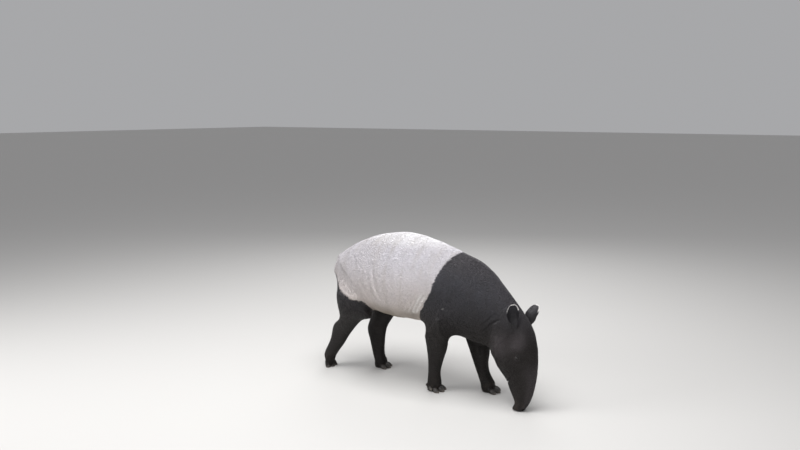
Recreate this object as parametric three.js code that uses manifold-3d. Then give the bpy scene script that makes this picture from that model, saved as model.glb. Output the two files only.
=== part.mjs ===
// A Malayan tapir at life size, walking slowly with its head down and the tip of its nose at the ground.
// Millimetres. +X is forward, +Y is the animal's left, +Z is up, and the hooves and the nose stand on Z = 0.
// The body is parted with thin flat cuts: head, snout, neck, forequarters, barrel, rump, tail, and the
// lengths of each leg down to its hooves.
import * as THREE from "three";
import { mergeVertices } from "three/addons/utils/BufferGeometryUtils.js";
import Module from "manifold-3d";

const wasm = await Module();
wasm.setup();

// Driving dimensions
const GAP = 0.3; // left between two pieces that touch
const EYE_RADIUS = 14;
const EAR_LENGTH = 134;
const HOOF_LENGTH = 40;
const FAR = 4000; // past every part of the animal

// Facets: points round a section, and sections between two named stations
const TRUNK_FACETS = { around: 32, between: 2 };
const HEAD_FACETS = { around: 32, between: 2 };
const LEG_FACETS = { around: 16, between: 2 };

// The trunk, from the tail to the nose. Each row is a flat section of the body:
// [top x, top z], [bottom x, bottom z], y of its middle, half width, height share of the widest level,
// and the roundness above and below it, where 2 is an ellipse and more is squarer.
const TRUNK = {
  buttock: [[-566, 828], [-562, 630], 0, 122, 0.5, 2.0, 2.0],
  croup: [[-492, 896], [-484, 546], 0, 194, 0.5, 2.0, 2.0],
  hip: [[-358, 966], [-352, 494], 0, 246, 0.49, 2.1, 2.0],
  loin: [[-196, 1020], [-201, 460], 0, 276, 0.48, 2.1, 2.0],
  barrel: [[0, 1043], [-39, 450], 0, 288, 0.46, 2.0, 2.1],
  ribs: [[211, 1009], [113, 452], 0, 276, 0.46, 1.9, 2.1],
  saddle_edge: [[424, 944], [257, 440], 0, 238, 0.47, 1.9, 2.0],
  withers: [[535, 907], [412, 392], 0, 212, 0.48, 1.9, 2.0],
  neck_base: [[638, 849], [538, 372], -3, 178, 0.48, 1.9, 2.0],
  neck: [[728, 768], [618, 364], -10, 148, 0.48, 1.9, 2.0],
  nape: [[811, 690], [664, 352], -20, 127, 0.48, 1.9, 2.0],
  poll: [[888, 615], [679, 338], -32, 116, 0.5, 1.9, 2.0],
  brow: [[960, 522], [688, 316], -42, 114, 0.52, 1.9, 2.0],
  eye: [[996, 422], [708, 292], -50, 108, 0.58, 1.8, 2.0],
  cheek: [[1009, 336], [732, 254], -57, 94, 0.58, 1.8, 2.0],
  mouth: [[1011, 266], [771, 210], -63, 76, 0.58, 1.9, 2.0],
  lip: [[1009, 206], [809, 168], -70, 60, 0.56, 2.0, 2.0],
  trunk_root: [[1003, 154], [828, 128], -77, 51, 0.54, 2.0, 2.0],
  trunk_middle: [[992, 103], [856, 84], -84, 46, 0.52, 2.0, 2.0],
  trunk_low: [[974, 53], [880, 42], -90, 42, 0.5, 2.1, 2.1],
  nose: [[950, 10], [866, 10], -94, 41, 0.5, 2.2, 2.2],
};
// How far each end of the trunk is rounded out past its last section, and how much of the curve to the
// pole that section has already turned through, in degrees.
const RUMP_DOME = { depth: 34, turned: 48 };
const NOSE_DOME = { depth: 12, turned: 0 };

// Muscle and bone under the skin, raised on the sections: centre, reach along x, y and z, and height.
// A row with both sides set is repeated on the other side of the body's middle.
const TRUNK_BULGES = [
  { name: "haunch", at: [-393, 215, 800], reach: [150, 120, 140], height: 12, sides: 2 },
  { name: "flank hollow", at: [-182, 250, 640], reach: [80, 120, 110], height: -13, sides: 2 },
  { name: "last ribs", at: [59, 270, 640], reach: [150, 120, 170], height: 9, sides: 2 },
  { name: "shoulder blade", at: [491, 170, 790], reach: [95, 110, 120], height: 11, sides: 2 },
  { name: "hollow behind the shoulder", at: [285, 230, 620], reach: [55, 120, 150], height: -10, sides: 2 },
  { name: "breast", at: [589, 0, 420], reach: [70, 110, 60], height: 12, sides: 1 },
];
// The same, on the head, where y is measured from the middle of the section that the point lies on.
const HEAD_BULGES = [
  { name: "jaw muscle", at: [758, 116, 402], reach: [62, 60, 66], height: 17, sides: 2 },
  { name: "hollow behind the jaw", at: [703, 139, 455], reach: [30, 60, 70], height: -9, sides: 2 },
  { name: "temple hollow", at: [884, 101, 458], reach: [42, 50, 38], height: -8, sides: 2 },
  { name: "brow ridge", at: [914, 99, 398], reach: [48, 46, 32], height: 7, sides: 2 },
  { name: "cheek bone", at: [850, 105, 344], reach: [54, 50, 30], height: 7, sides: 2 },
  { name: "hollow before the eye", at: [930, 75, 306], reach: [42, 40, 34], height: -9, sides: 2 },
  { name: "upper lip", at: [885, 46, 190], reach: [40, 40, 30], height: 6, sides: 2 },
  { name: "nostril rim", at: [888, 34, 30], reach: [34, 30, 20], height: 5, sides: 2 },
];

// The legs. Girths are shared by the two legs of a pair: reach before and behind the middle, half width.
const HIND_GIRTHS = {
  hip: [112, 110, 70],
  thigh: [142, 137, 92],
  stifle: [146, 124, 92],
  knee: [106, 92, 69],
  hock: [77, 82, 49],
  cannon: [57, 59, 41],
  fetlock: [45, 47, 40],
  foot: [46, 46, 47],
};
const FORE_GIRTHS = {
  blade: [104, 100, 70],
  arm: [140, 130, 88],
  elbow: [128, 116, 80],
  forearm: [94, 86, 64],
  middle: [76, 67, 53],
  wrist: [54, 51, 46],
  cannon: [44, 42, 41],
  foot: [50, 48, 48],
};
// Where the middle of each leg runs: x, y, z, and the slope of each section in degrees, front end up.
// nodes are the lengths it is parted into, each named with the station that it starts from. foot says
// where the toes stand, how they are turned and tipped, and where the pad behind them lies. flank is added
// to the reach before the middle, for the fold of skin from the belly to the stifle.
const LEGS = {
  hind_right: {
    girths: HIND_GIRTHS,
    flank: { thigh: 10, stifle: 54, knee: -12, hock: -4 },
    nodes: { thigh: "thigh", shank: "knee", hock: "hock", foot: "fetlock" },
    path: {
      hip: [-407, -130, 800, 0],
      thigh: [-393, -150, 628, -26],
      stifle: [-380, -152, 505, -14],
      knee: [-402, -141, 405, -2],
      hock: [-490, -122, 310, -14],
      cannon: [-553, -110, 202, -14],
      fetlock: [-618, -102, 108, -18],
      foot: [-638, -99, 66, -46],
    },
    foot: { stand: [-642, -98], turn: -4, tip: 50, pad: [20, -34, 22, 40], front: false },
  },
  hind_left: {
    girths: HIND_GIRTHS,
    flank: { thigh: -40, stifle: -90, hock: 10, cannon: 7 },
    nodes: { thigh: "thigh", shank: "knee", hock: "hock", foot: "fetlock" },
    path: {
      hip: [-358, 130, 800, 0],
      thigh: [-332, 150, 628, -26],
      stifle: [-316, 152, 500, -10],
      knee: [-324, 139, 400, 6],
      hock: [-360, 120, 286, 8],
      cannon: [-350, 108, 184, 6],
      fetlock: [-330, 102, 94, 10],
      foot: [-312, 100, 46, 4],
    },
    foot: { stand: [-296, 100], turn: 4, tip: 0, pad: [26, -56, 0, 44], front: false },
  },
  fore_right: {
    girths: FORE_GIRTHS,
    flank: {},
    nodes: { forearm: "elbow", wrist: "wrist", foot: "cannon" },
    path: {
      blade: [432, -98, 790, 0],
      arm: [396, -146, 620, 0],
      elbow: [338, -142, 478, 0],
      forearm: [311, -126, 375, 0],
      middle: [299, -113, 290, 0],
      wrist: [287, -103, 205, 0],
      cannon: [275, -96, 128, 0],
      foot: [274, -92, 52, 0],
    },
    foot: { stand: [284, -90], turn: -4, tip: 0, pad: [26, -56, 0, 45], front: true },
  },
  fore_left: {
    girths: FORE_GIRTHS,
    flank: {},
    nodes: { forearm: "elbow", wrist: "wrist", foot: "cannon" },
    path: {
      blade: [447, 98, 790, 0],
      arm: [456, 140, 620, 4],
      elbow: [461, 138, 465, 8],
      forearm: [485, 119, 340, 6],
      middle: [507, 109, 254, 6],
      wrist: [524, 102, 184, 8],
      cannon: [546, 98, 118, 12],
      foot: [580, 96, 54, 8],
    },
    foot: { stand: [606, 96], turn: 4, tip: 0, pad: [26, -58, 0, 45], front: true },
  },
};
// Toes, side by side across a foot: place across, turn outward, reach forward, size, and lift.
const HIND_TOES = [
  { name: "inner", side: -36, turn: -13, out: 22, size: 0.84, lift: 0 },
  { name: "middle", side: 0, turn: 0, out: 30, size: 0.96, lift: 0 },
  { name: "outer", side: 36, turn: 13, out: 22, size: 0.84, lift: 0 },
];
const FORE_TOES = [
  { name: "inner", side: -37, turn: -14, out: 22, size: 0.86, lift: 0 },
  { name: "middle", side: 0, turn: 0, out: 30, size: 0.98, lift: 0 },
  { name: "outer", side: 37, turn: 13, out: 20, size: 0.86, lift: 0 },
  { name: "side", side: 47, turn: 28, out: -14, size: 0.6, lift: 15 },
];

// The eyes, the ears, the tail, the nostrils and the mouth line
const EYES = { x: 906, z: 357, middle: -52.4, side: 91.6 }; // side is measured from middle, a y
const EARS = {
  right: { base: [871, -119, 551], along: [-0.04, -0.07, 0.99], open: [0.8, -0.55, -0.2] },
  left: { base: [894, 34, 537], along: [0.2, 0.59, 0.78], open: [0.26, 0.96, 0] },
};
const EAR_WIDTH = 90;
const EAR_THICKNESS = 7;
const TAIL = [
  [-556, 0, 824, 30],
  [-590, 0, 806, 28],
  [-612, 0, 774, 23],
  [-620, 0, 740, 17],
  [-623, 0, 714, 10],
];
const NOSTRILS = { x: 942, z: 13, side: 19, size: [16, 9, 16] };
const MOUTH = [
  [870, 206],
  [852, 180],
  [826, 157],
  [786, 126],
  [776, 140],
  [816, 171],
  [843, 191],
];

const BLACK_COAT = { color: 0x1d1c1e, roughness: 0.75, metalness: 0 };
const PALE_COAT = { color: 0xb9b3b1, roughness: 0.8, metalness: 0 };
const HOOF_HORN = { color: 0x34302d, roughness: 0.5, metalness: 0 };
const EYE_GLASS = { color: 0x120d0b, roughness: 0.08, metalness: 0 };

// A smooth curve through rows of numbers at 0, 1, 2, ...: a cubic between two rows, whose slope at a row
// is half the step from the row before to the row after.
function smoothRow(rows, t) {
  const last = rows.length - 1;
  const i = Math.min(Math.floor(t), last - 1);
  const f = t - i;
  const slope = (k, c) => {
    if (k === 0) return rows[1][c] - rows[0][c];
    if (k === last) return rows[last][c] - rows[last - 1][c];
    return (rows[k + 1][c] - rows[k - 1][c]) / 2;
  };
  return rows[i].map(
    (value, c) =>
      value * (2 * f ** 3 - 3 * f ** 2 + 1) +
      slope(i, c) * (f ** 3 - 2 * f ** 2 + f) +
      rows[i + 1][c] * (3 * f ** 2 - 2 * f ** 3) +
      slope(i + 1, c) * (f ** 3 - f ** 2),
  );
}

// The points of one section. Its plane holds the top and the bottom point and the sideways direction.
function sectionRing(row, around, grow = 0) {
  const [topX, topZ, bottomX, bottomZ, y, halfWidth, share, roundTop, roundBottom] = row;
  const top = new THREE.Vector3(topX, y, topZ);
  const bottom = new THREE.Vector3(bottomX, y, bottomZ);
  const rise = top.clone().sub(bottom);
  const height = rise.length();
  rise.normalize();
  const middle = bottom.clone().addScaledVector(rise, height * share);
  const power = (value, round) => Math.sign(value) * Math.abs(value) ** (2 / round);
  return Array.from({ length: around }, (_, k) => {
    const angle = (k / around) * 2 * Math.PI;
    const above = Math.cos(angle) >= 0;
    const round = above ? roundTop : roundBottom;
    const reach = (above ? 1 - share : share) * height + grow;
    return middle
      .clone()
      .addScaledVector(rise, reach * power(Math.cos(angle), round))
      .add(new THREE.Vector3(0, (halfWidth + grow) * power(Math.sin(angle), round), 0));
  });
}

const centreOf = (ring) =>
  ring.reduce((sum, p) => sum.add(p), new THREE.Vector3()).divideScalar(ring.length);

// The middle of the ring moved straight out from its plane, away from the ring before it.
function outwardOf(ring, before) {
  const middle = centreOf(ring);
  const quarter = Math.floor(ring.length / 4);
  const normal = ring[0]
    .clone()
    .sub(middle)
    .cross(ring[quarter].clone().sub(middle))
    .normalize();
  const away = middle.clone().sub(centreOf(before));
  return normal.multiplyScalar(Math.sign(normal.dot(away)));
}

// Rings that close an end with part of an ellipsoid.
function domeRings(ring, before, { depth, turned }, steps = 3) {
  const middle = centreOf(ring);
  const out = outwardOf(ring, before);
  const first = THREE.MathUtils.degToRad(turned);
  return Array.from({ length: steps }, (_, k) => {
    const angle = first + ((k + 1) / (steps + 0.35)) * (Math.PI / 2 - first);
    const size = Math.cos(angle) / Math.cos(first);
    const rise = (Math.sin(angle) - Math.sin(first)) / (1 - Math.sin(first));
    return ring.map((p) =>
      middle
        .clone()
        .add(p.clone().sub(middle).multiplyScalar(size))
        .addScaledVector(out, depth * rise),
    );
  });
}

const shiftedRing = (ring, by) => ring.map((p) => p.clone().add(by));

// A closed surface through rings of equally many points, with a fan of triangles at either end.
function solidOfRings(rings) {
  const around = rings[0].length;
  const points = [...rings.flat(), centreOf(rings[0]), centreOf(rings.at(-1))];
  const startFan = rings.length * around;
  const triangles = [];
  for (let j = 0; j < around; j++) {
    const next = (j + 1) % around;
    for (let i = 0; i + 1 < rings.length; i++) {
      const [a, b, c, d] = [i * around + j, i * around + next, (i + 1) * around + next, (i + 1) * around + j];
      triangles.push(a, b, c, a, c, d);
    }
    const lastRing = (rings.length - 1) * around;
    triangles.push(startFan, next, j, startFan + 1, lastRing + j, lastRing + next);
  }
  return solidOf(points, triangles);
}

// A manifold solid of points and triangles, turned to face out.
function solidOf(points, triangles) {
  let sixVolumes = 0;
  for (let i = 0; i < triangles.length; i += 3) {
    const [a, b, c] = [0, 1, 2].map((k) => points[triangles[i + k]]);
    sixVolumes += a.dot(b.clone().cross(c));
  }
  if (sixVolumes < 0) {
    for (let i = 0; i < triangles.length; i += 3) {
      [triangles[i + 1], triangles[i + 2]] = [triangles[i + 2], triangles[i + 1]];
    }
  }
  return new wasm.Manifold(
    new wasm.Mesh({
      numProp: 3,
      vertProperties: new Float32Array(points.flatMap((p) => p.toArray())),
      triVerts: new Uint32Array(triangles),
    }),
  );
}

// A three.js geometry as a manifold solid.
function solidOfGeometry(geometry) {
  const bare = geometry.clone();
  bare.deleteAttribute("normal");
  bare.deleteAttribute("uv");
  const merged = mergeVertices(bare, 1e-4);
  return new wasm.Manifold(
    new wasm.Mesh({
      numProp: 3,
      vertProperties: new Float32Array(merged.attributes.position.array),
      triVerts: new Uint32Array(merged.index.array),
    }),
  );
}

// Pushes the points of a ring out from its middle where a bulge reaches them.
function withBulges(ring, bulges, middleY) {
  const middle = centreOf(ring);
  return ring.map((p) => {
    const out = p.clone().sub(middle).normalize();
    let push = 0;
    for (const { at, reach, height, sides } of bulges) {
      for (const side of sides === 2 ? [1, -1] : [1]) {
        const away = [p.x - at[0], p.y - middleY - side * at[1], p.z - at[2]];
        const q = away.reduce((sum, d, c) => sum + (d / reach[c]) ** 2, 0);
        push += height * Math.exp(-q);
      }
    }
    return p.clone().addScaledVector(out, push);
  });
}

// Part of the trunk between two named stations, or out past an end of it as a dome.
const TRUNK_ROWS = Object.values(TRUNK).map(([top, bottom, ...rest]) => [...top, ...bottom, ...rest]);
const TRUNK_STATIONS = Object.keys(TRUNK);

function trunkRings(from, to, { around, between }, grow = 0) {
  const first = TRUNK_STATIONS.indexOf(from);
  const steps = (TRUNK_STATIONS.indexOf(to) - first) * between;
  return Array.from({ length: steps + 1 }, (_, k) => {
    const row = smoothRow(TRUNK_ROWS, first + k / between);
    const ring = withBulges(sectionRing(row, around, grow), TRUNK_BULGES, 0);
    return withBulges(ring, HEAD_BULGES, row[4]);
  });
}

function trunkPart(from, to, facets, { grow = 0, startDome, endDome } = {}) {
  const rings = trunkRings(from, to, facets, grow);
  const half = GAP / 2 - grow;
  const start = outwardOf(rings[0], rings[1]);
  const end = outwardOf(rings.at(-1), rings.at(-2));
  const cut = [
    startDome ? rings[0] : shiftedRing(rings[0], start.multiplyScalar(-half)),
    ...rings.slice(1, -1),
    endDome ? rings.at(-1) : shiftedRing(rings.at(-1), end.multiplyScalar(-half)),
  ];
  if (startDome) cut.unshift(...domeRings(rings[0], rings[1], startDome).reverse());
  if (endDome) cut.push(...domeRings(rings.at(-1), rings.at(-2), endDome));
  return solidOfRings(cut);
}

// A length of a leg between two named stations.
function legRings({ girths, flank, path }, from, to, grow = 0) {
  const names = Object.keys(path);
  const rows = names.map((name) => {
    const [x, y, z, slope] = path[name];
    const [girthBefore, behind, halfWidth] = girths[name];
    const before = girthBefore + (flank[name] ?? 0);
    const lean = THREE.MathUtils.degToRad(slope);
    return [
      x + before * Math.cos(lean),
      z + before * Math.sin(lean),
      x - behind * Math.cos(lean),
      z - behind * Math.sin(lean),
      y,
      halfWidth,
      behind / (before + behind),
      2,
      2,
    ];
  });
  const { around, between } = LEG_FACETS;
  const first = names.indexOf(from);
  const steps = (names.indexOf(to) - first) * between;
  return Array.from({ length: steps + 1 }, (_, k) =>
    sectionRing(smoothRow(rows, first + k / between), around, grow),
  );
}

function legPart(leg, from, to) {
  const rings = legRings(leg, from, to);
  const start = outwardOf(rings[0], rings[1]).multiplyScalar(-GAP / 2);
  const end = outwardOf(rings.at(-1), rings.at(-2)).multiplyScalar(-GAP / 2);
  return solidOfRings([
    shiftedRing(rings[0], start),
    ...rings.slice(1, -1),
    shiftedRing(rings.at(-1), end),
  ]);
}

// Everything below the floor.
const underFloor = solidOfGeometry(new THREE.BoxGeometry(FAR, FAR, 400).translate(0, 0, -200));

// The largest closed body of a solid, which drops a loose scrap.
function largest(solid) {
  const bodies = solid.decompose();
  return bodies.reduce((best, body) => (body.volume() > best.volume() ? body : best));
}

// The frame of a foot: on the floor under the middle of its toes, forward along +X, tipped onto the toes.
function footFrame({ stand, turn, tip }) {
  return new THREE.Matrix4()
    .makeTranslation(stand[0], stand[1], 0)
    .multiply(new THREE.Matrix4().makeRotationZ(THREE.MathUtils.degToRad(turn)))
    .multiply(new THREE.Matrix4().makeRotationY(THREE.MathUtils.degToRad(tip)));
}

// The frame of one toe. A tipped foot's toes bend back up so that their hooves are less steep.
function toeFrame(foot, toe, outward) {
  return footFrame(foot)
    .multiply(new THREE.Matrix4().makeTranslation(foot.tip ? -14 : 0, 0, foot.tip ? 8 : 0))
    .multiply(new THREE.Matrix4().makeTranslation(toe.out, outward * toe.side, toe.lift))
    .multiply(new THREE.Matrix4().makeRotationZ(THREE.MathUtils.degToRad(outward * toe.turn)));
}

// Sections of a toe or hoof in its own frame, smoothed between rows and set in place.
function placedSolid(rows, count, around, frame, grow = 0) {
  const rings = Array.from({ length: count }, (_, k) =>
    sectionRing(smoothRow(rows, (k * (rows.length - 1)) / (count - 1)), around, grow),
  );
  return solidOfRings(rings.map((ring) => ring.map((p) => p.applyMatrix4(frame))));
}

// A hoof: rounded above and in front, wider behind, flat below. grow widens it for the cut round it.
function hoofSolid({ size: s }, frame, grow = 0) {
  const back = -2 - grow;
  const rows = [
    [back, 36 * s, back, -2, 0, 19 * s, 0.35, 2.2, 3],
    [11 * s, 33 * s, 10 * s, -3, 0, 20 * s, 0.3, 2.2, 3],
    [24 * s, 25 * s, 22 * s, -3, 0, 18 * s, 0.3, 2.1, 3],
    [HOOF_LENGTH * 0.86 * s, 15 * s, HOOF_LENGTH * 0.84 * s, -3, 0, 13 * s, 0.3, 2, 3],
    [HOOF_LENGTH * s, 7 * s, HOOF_LENGTH * s, -3, 0, 7 * s, 0.3, 2, 2.5],
  ];
  return placedSolid(rows, 5, 10, frame, grow);
}

function toeSolid({ size: s }, frame) {
  const rows = [
    [-46, 50 * s, -46, 6, 0, 17 * s, 0.45, 2, 2],
    [-26 * s, 45 * s, -26 * s, -2, 0, 19 * s, 0.45, 2, 2.4],
    [-2 - GAP, 37.5 * s, -2 - GAP, -3, 0, 19.5 * s, 0.4, 2.1, 2.6],
  ];
  return placedSolid(rows, 3, 10, frame);
}

// The lowest length of a leg with its toes fused on and a pad behind them, and its hooves.
function footParts(side, leg) {
  const outward = side.endsWith("left") ? 1 : -1;
  const { foot } = leg;
  const toes = foot.front ? FORE_TOES : HIND_TOES;
  const ankle = legRings(leg, leg.nodes.foot, Object.keys(leg.path).at(-1));
  ankle[0] = shiftedRing(ankle[0], outwardOf(ankle[0], ankle[1]).multiplyScalar(-GAP / 2));
  const [front, rear, height, halfWidth] = foot.pad;
  const pad = sectionRing([front, height - 1, rear, height - 1, 0, halfWidth, 0.5, 2.4, 2.2], LEG_FACETS.around);
  let solid = solidOfRings([...ankle, pad.map((p) => p.applyMatrix4(footFrame(foot)))]);
  const frames = toes.map((toe) => toeFrame(foot, toe, outward));
  toes.forEach((toe, k) => (solid = solid.add(toeSolid(toe, frames[k]))));
  toes.forEach((toe, k) => (solid = solid.subtract(hoofSolid(toe, frames[k], GAP))));
  const done = { [`foot_${side}`]: largest(solid.subtract(underFloor)) };
  toes.forEach((toe, k) => {
    done[`hoof_${side}_${toe.name}`] = largest(hoofSolid(toe, frames[k]).subtract(underFloor));
  });
  return done;
}

// A tapered tube with round ends through points with a radius each.
function roundTaper(stations, around) {
  const rings = stations.map(([x, y, z, radius], k) => {
    const before = new THREE.Vector3(...stations[Math.max(k - 1, 0)]);
    const after = new THREE.Vector3(...stations[Math.min(k + 1, stations.length - 1)]);
    const along = after.sub(before).normalize();
    const across = new THREE.Vector3(0, 1, 0);
    const up = along.clone().cross(across);
    return Array.from({ length: around }, (_, j) => {
      const angle = (j / around) * 2 * Math.PI;
      return new THREE.Vector3(x, y, z)
        .addScaledVector(up, radius * Math.cos(angle))
        .addScaledVector(across, radius * Math.sin(angle));
    });
  });
  const tip = domeRings(rings.at(-1), rings.at(-2), { depth: stations.at(-1)[3] * 0.7, turned: 0 }, 2);
  return solidOfRings([...rings, ...tip]);
}

// An ear: a leaf of even thickness rolled round its own length, closed at the base like a cup and opening
// out to a round tip. share runs from base to tip; the roll is in degrees each side of the ear's back.
const EAR_FORM = [
  { share: -0.12, width: 0.52, roll: 150 },
  { share: 0.06, width: 0.66, roll: 128 },
  { share: 0.26, width: 0.88, roll: 100 },
  { share: 0.5, width: 1, roll: 74 },
  { share: 0.72, width: 0.92, roll: 58 },
  { share: 0.88, width: 0.68, roll: 46 },
  { share: 0.97, width: 0.38, roll: 38 },
];
function earSolid({ base, along, open }) {
  const up = new THREE.Vector3(...along).normalize();
  const mouth = new THREE.Vector3(...open);
  mouth.addScaledVector(up, -mouth.dot(up)).normalize();
  const wide = up.clone().cross(mouth);
  const steps = 10;
  const skin = (inset) =>
    EAR_FORM.map(({ share, width, roll }) => {
      const angle = THREE.MathUtils.degToRad(roll);
      const radius = (EAR_WIDTH * width) / 2 / Math.sin(Math.min(angle, Math.PI / 2));
      const back = radius * Math.min(1, 1.1 - Math.cos(angle));
      return Array.from({ length: steps + 1 }, (_, j) => {
        const turn = angle * ((2 * j) / steps - 1);
        return new THREE.Vector3(...base)
          .addScaledVector(up, share * EAR_LENGTH)
          .addScaledVector(wide, (radius - inset) * Math.sin(turn))
          .addScaledVector(mouth, radius - back - (radius - inset) * Math.cos(turn));
      });
    });
  const outer = skin(0);
  const inner = skin(EAR_THICKNESS);
  return solidOfRings(outer.map((row, k) => [...row, ...inner[k].toReversed()]));
}

// The lids: a ring of soft skin round the eye, drawn out toward the nose.
function lidSolid(side) {
  const ring = new THREE.TorusGeometry(EYE_RADIUS * 0.98, 5.5, 6, 14);
  ring.scale(1.18, 0.86, 1);
  ring.rotateZ(THREE.MathUtils.degToRad(-62));
  ring.rotateX(THREE.MathUtils.degToRad(-90 * side));
  ring.rotateZ(THREE.MathUtils.degToRad(-24 * side));
  ring.translate(EYES.x + 3, EYES.middle + side * (EYES.side + 8.5), EYES.z);
  return solidOfGeometry(ring);
}

const eyeBall = (side, grow = 0) =>
  solidOfGeometry(
    new THREE.SphereGeometry(EYE_RADIUS + grow, 16, 10).translate(EYES.x, EYES.middle + side * EYES.side, EYES.z),
  );

function nostril(side) {
  const hollow = new THREE.SphereGeometry(1, 12, 8);
  hollow.scale(...NOSTRILS.size);
  hollow.rotateZ(THREE.MathUtils.degToRad(18 * side));
  hollow.translate(NOSTRILS.x, TRUNK.nose[2] + side * NOSTRILS.side, NOSTRILS.z);
  return solidOfGeometry(hollow);
}

// The slit between the lower lip and the trunk, right across the head.
function mouthSlit() {
  const outline = new THREE.Shape(MOUTH.map(([x, z]) => new THREE.Vector2(x, z)));
  const slit = new THREE.ExtrudeGeometry(outline, { depth: 400, bevelEnabled: false });
  slit.rotateX(Math.PI / 2);
  slit.translate(0, 200 + TRUNK.lip[2], 0);
  return solidOfGeometry(slit);
}

// The top of a leg, which is fused into the rump or the forequarters.
function topOfLeg(leg) {
  const rings = legRings(leg, Object.keys(leg.path)[0], Object.values(leg.nodes)[0]);
  const end = outwardOf(rings.at(-1), rings.at(-2)).multiplyScalar(-GAP / 2);
  return solidOfRings([...rings.slice(0, -1), shiftedRing(rings.at(-1), end)]);
}

const nodes = new Map();
const add = (name, solid, look) => nodes.set(name, { solid: largest(solid), look });

const loft = (from, to, options) => trunkPart(from, to, TRUNK_FACETS, options);
const wholeTrunk = loft("buttock", "nape", { grow: GAP, startDome: RUMP_DOME });
const roundBarrel = loft("loin", "saddle_edge", { grow: GAP });
const roundNeck = loft("neck_base", "nape", { grow: GAP });
const roundHead = trunkPart("nape", "trunk_root", HEAD_FACETS, { grow: GAP });
const roundRump = loft("buttock", "loin", { grow: GAP, startDome: RUMP_DOME });

const hips = topOfLeg(LEGS.hind_right).add(topOfLeg(LEGS.hind_left)).subtract(roundBarrel);
const shoulders = topOfLeg(LEGS.fore_right).add(topOfLeg(LEGS.fore_left)).subtract(roundBarrel);
add("rump", loft("buttock", "loin", { startDome: RUMP_DOME }).add(hips), PALE_COAT);
add("barrel", loft("loin", "saddle_edge"), PALE_COAT);
add("forequarters", loft("saddle_edge", "neck_base").add(shoulders.subtract(roundNeck)), BLACK_COAT);
add("neck", loft("neck_base", "nape"), BLACK_COAT);

let head = trunkPart("nape", "trunk_root", HEAD_FACETS).add(lidSolid(1)).add(lidSolid(-1)).subtract(mouthSlit());
let snout = trunkPart("trunk_root", "nose", HEAD_FACETS, { endDome: NOSE_DOME }).subtract(mouthSlit());
for (const side of [1, -1]) {
  head = head.subtract(eyeBall(side, GAP));
  snout = snout.subtract(nostril(side));
}
add("head", head, BLACK_COAT);
add("snout", snout.subtract(underFloor), BLACK_COAT);
add("eye_right", eyeBall(-1), EYE_GLASS);
add("eye_left", eyeBall(1), EYE_GLASS);
add("ear_right", earSolid(EARS.right).subtract(roundHead).subtract(roundNeck), BLACK_COAT);
add("ear_left", earSolid(EARS.left).subtract(roundHead).subtract(roundNeck), BLACK_COAT);
add("tail", roundTaper(TAIL, 12).subtract(roundRump), PALE_COAT);

for (const [side, leg] of Object.entries(LEGS)) {
  const lengths = Object.entries(leg.nodes);
  lengths.slice(0, -1).forEach(([name, from], k) => {
    const solid = legPart(leg, from, lengths[k + 1][1]);
    add(`${name}_${side}`, k ? solid : solid.subtract(wholeTrunk), BLACK_COAT);
  });
  for (const [name, solid] of Object.entries(footParts(side, leg))) {
    add(name, solid, name.startsWith("hoof") ? HOOF_HORN : BLACK_COAT);
  }
}

// Puts the origin under the middle of the animal's box.
const box = new THREE.Box3();
for (const { solid } of nodes.values()) {
  const { min, max } = solid.boundingBox();
  box.union(new THREE.Box3(new THREE.Vector3(...min), new THREE.Vector3(...max)));
}
const middle = box.getCenter(new THREE.Vector3());

function meshOf(name, { solid, look }) {
  const { vertProperties, triVerts } = solid.getMesh();
  const geometry = new THREE.BufferGeometry();
  geometry.setAttribute("position", new THREE.BufferAttribute(vertProperties, 3));
  geometry.setIndex(new THREE.BufferAttribute(triVerts, 1));
  geometry.computeVertexNormals();
  const mesh = new THREE.Mesh(geometry, new THREE.MeshStandardMaterial(look));
  mesh.name = name;
  return mesh;
}

const tapir = new THREE.Group();
for (const [name, node] of nodes) tapir.add(meshOf(name, node));
tapir.position.set(-middle.x, -middle.y, -box.min.z);

export default tapir;
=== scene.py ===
# A Malayan tapir at life size, walking slowly with its head down: one seamless skin with folds and lids,
# a short flat coat of fine tufts, dark wet eyes and worn hooves. Metres, +X forward, +Y its left, +Z up.
import math

import bmesh
import bpy
import numpy as np
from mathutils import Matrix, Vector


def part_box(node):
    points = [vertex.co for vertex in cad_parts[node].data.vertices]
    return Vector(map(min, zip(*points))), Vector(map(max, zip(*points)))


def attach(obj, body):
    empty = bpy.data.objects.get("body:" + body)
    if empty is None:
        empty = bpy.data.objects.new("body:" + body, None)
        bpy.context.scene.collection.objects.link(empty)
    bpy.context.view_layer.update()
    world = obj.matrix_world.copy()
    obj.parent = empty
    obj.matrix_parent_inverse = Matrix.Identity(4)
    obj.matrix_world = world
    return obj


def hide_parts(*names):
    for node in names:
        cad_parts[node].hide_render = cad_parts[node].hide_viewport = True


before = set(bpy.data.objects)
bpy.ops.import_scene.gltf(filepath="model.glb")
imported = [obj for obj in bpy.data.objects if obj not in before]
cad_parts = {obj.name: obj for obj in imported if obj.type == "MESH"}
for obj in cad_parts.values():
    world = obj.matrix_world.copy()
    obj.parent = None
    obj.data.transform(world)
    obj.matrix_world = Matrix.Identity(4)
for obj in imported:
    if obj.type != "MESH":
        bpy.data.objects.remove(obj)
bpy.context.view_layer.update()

MM = 0.001

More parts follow.
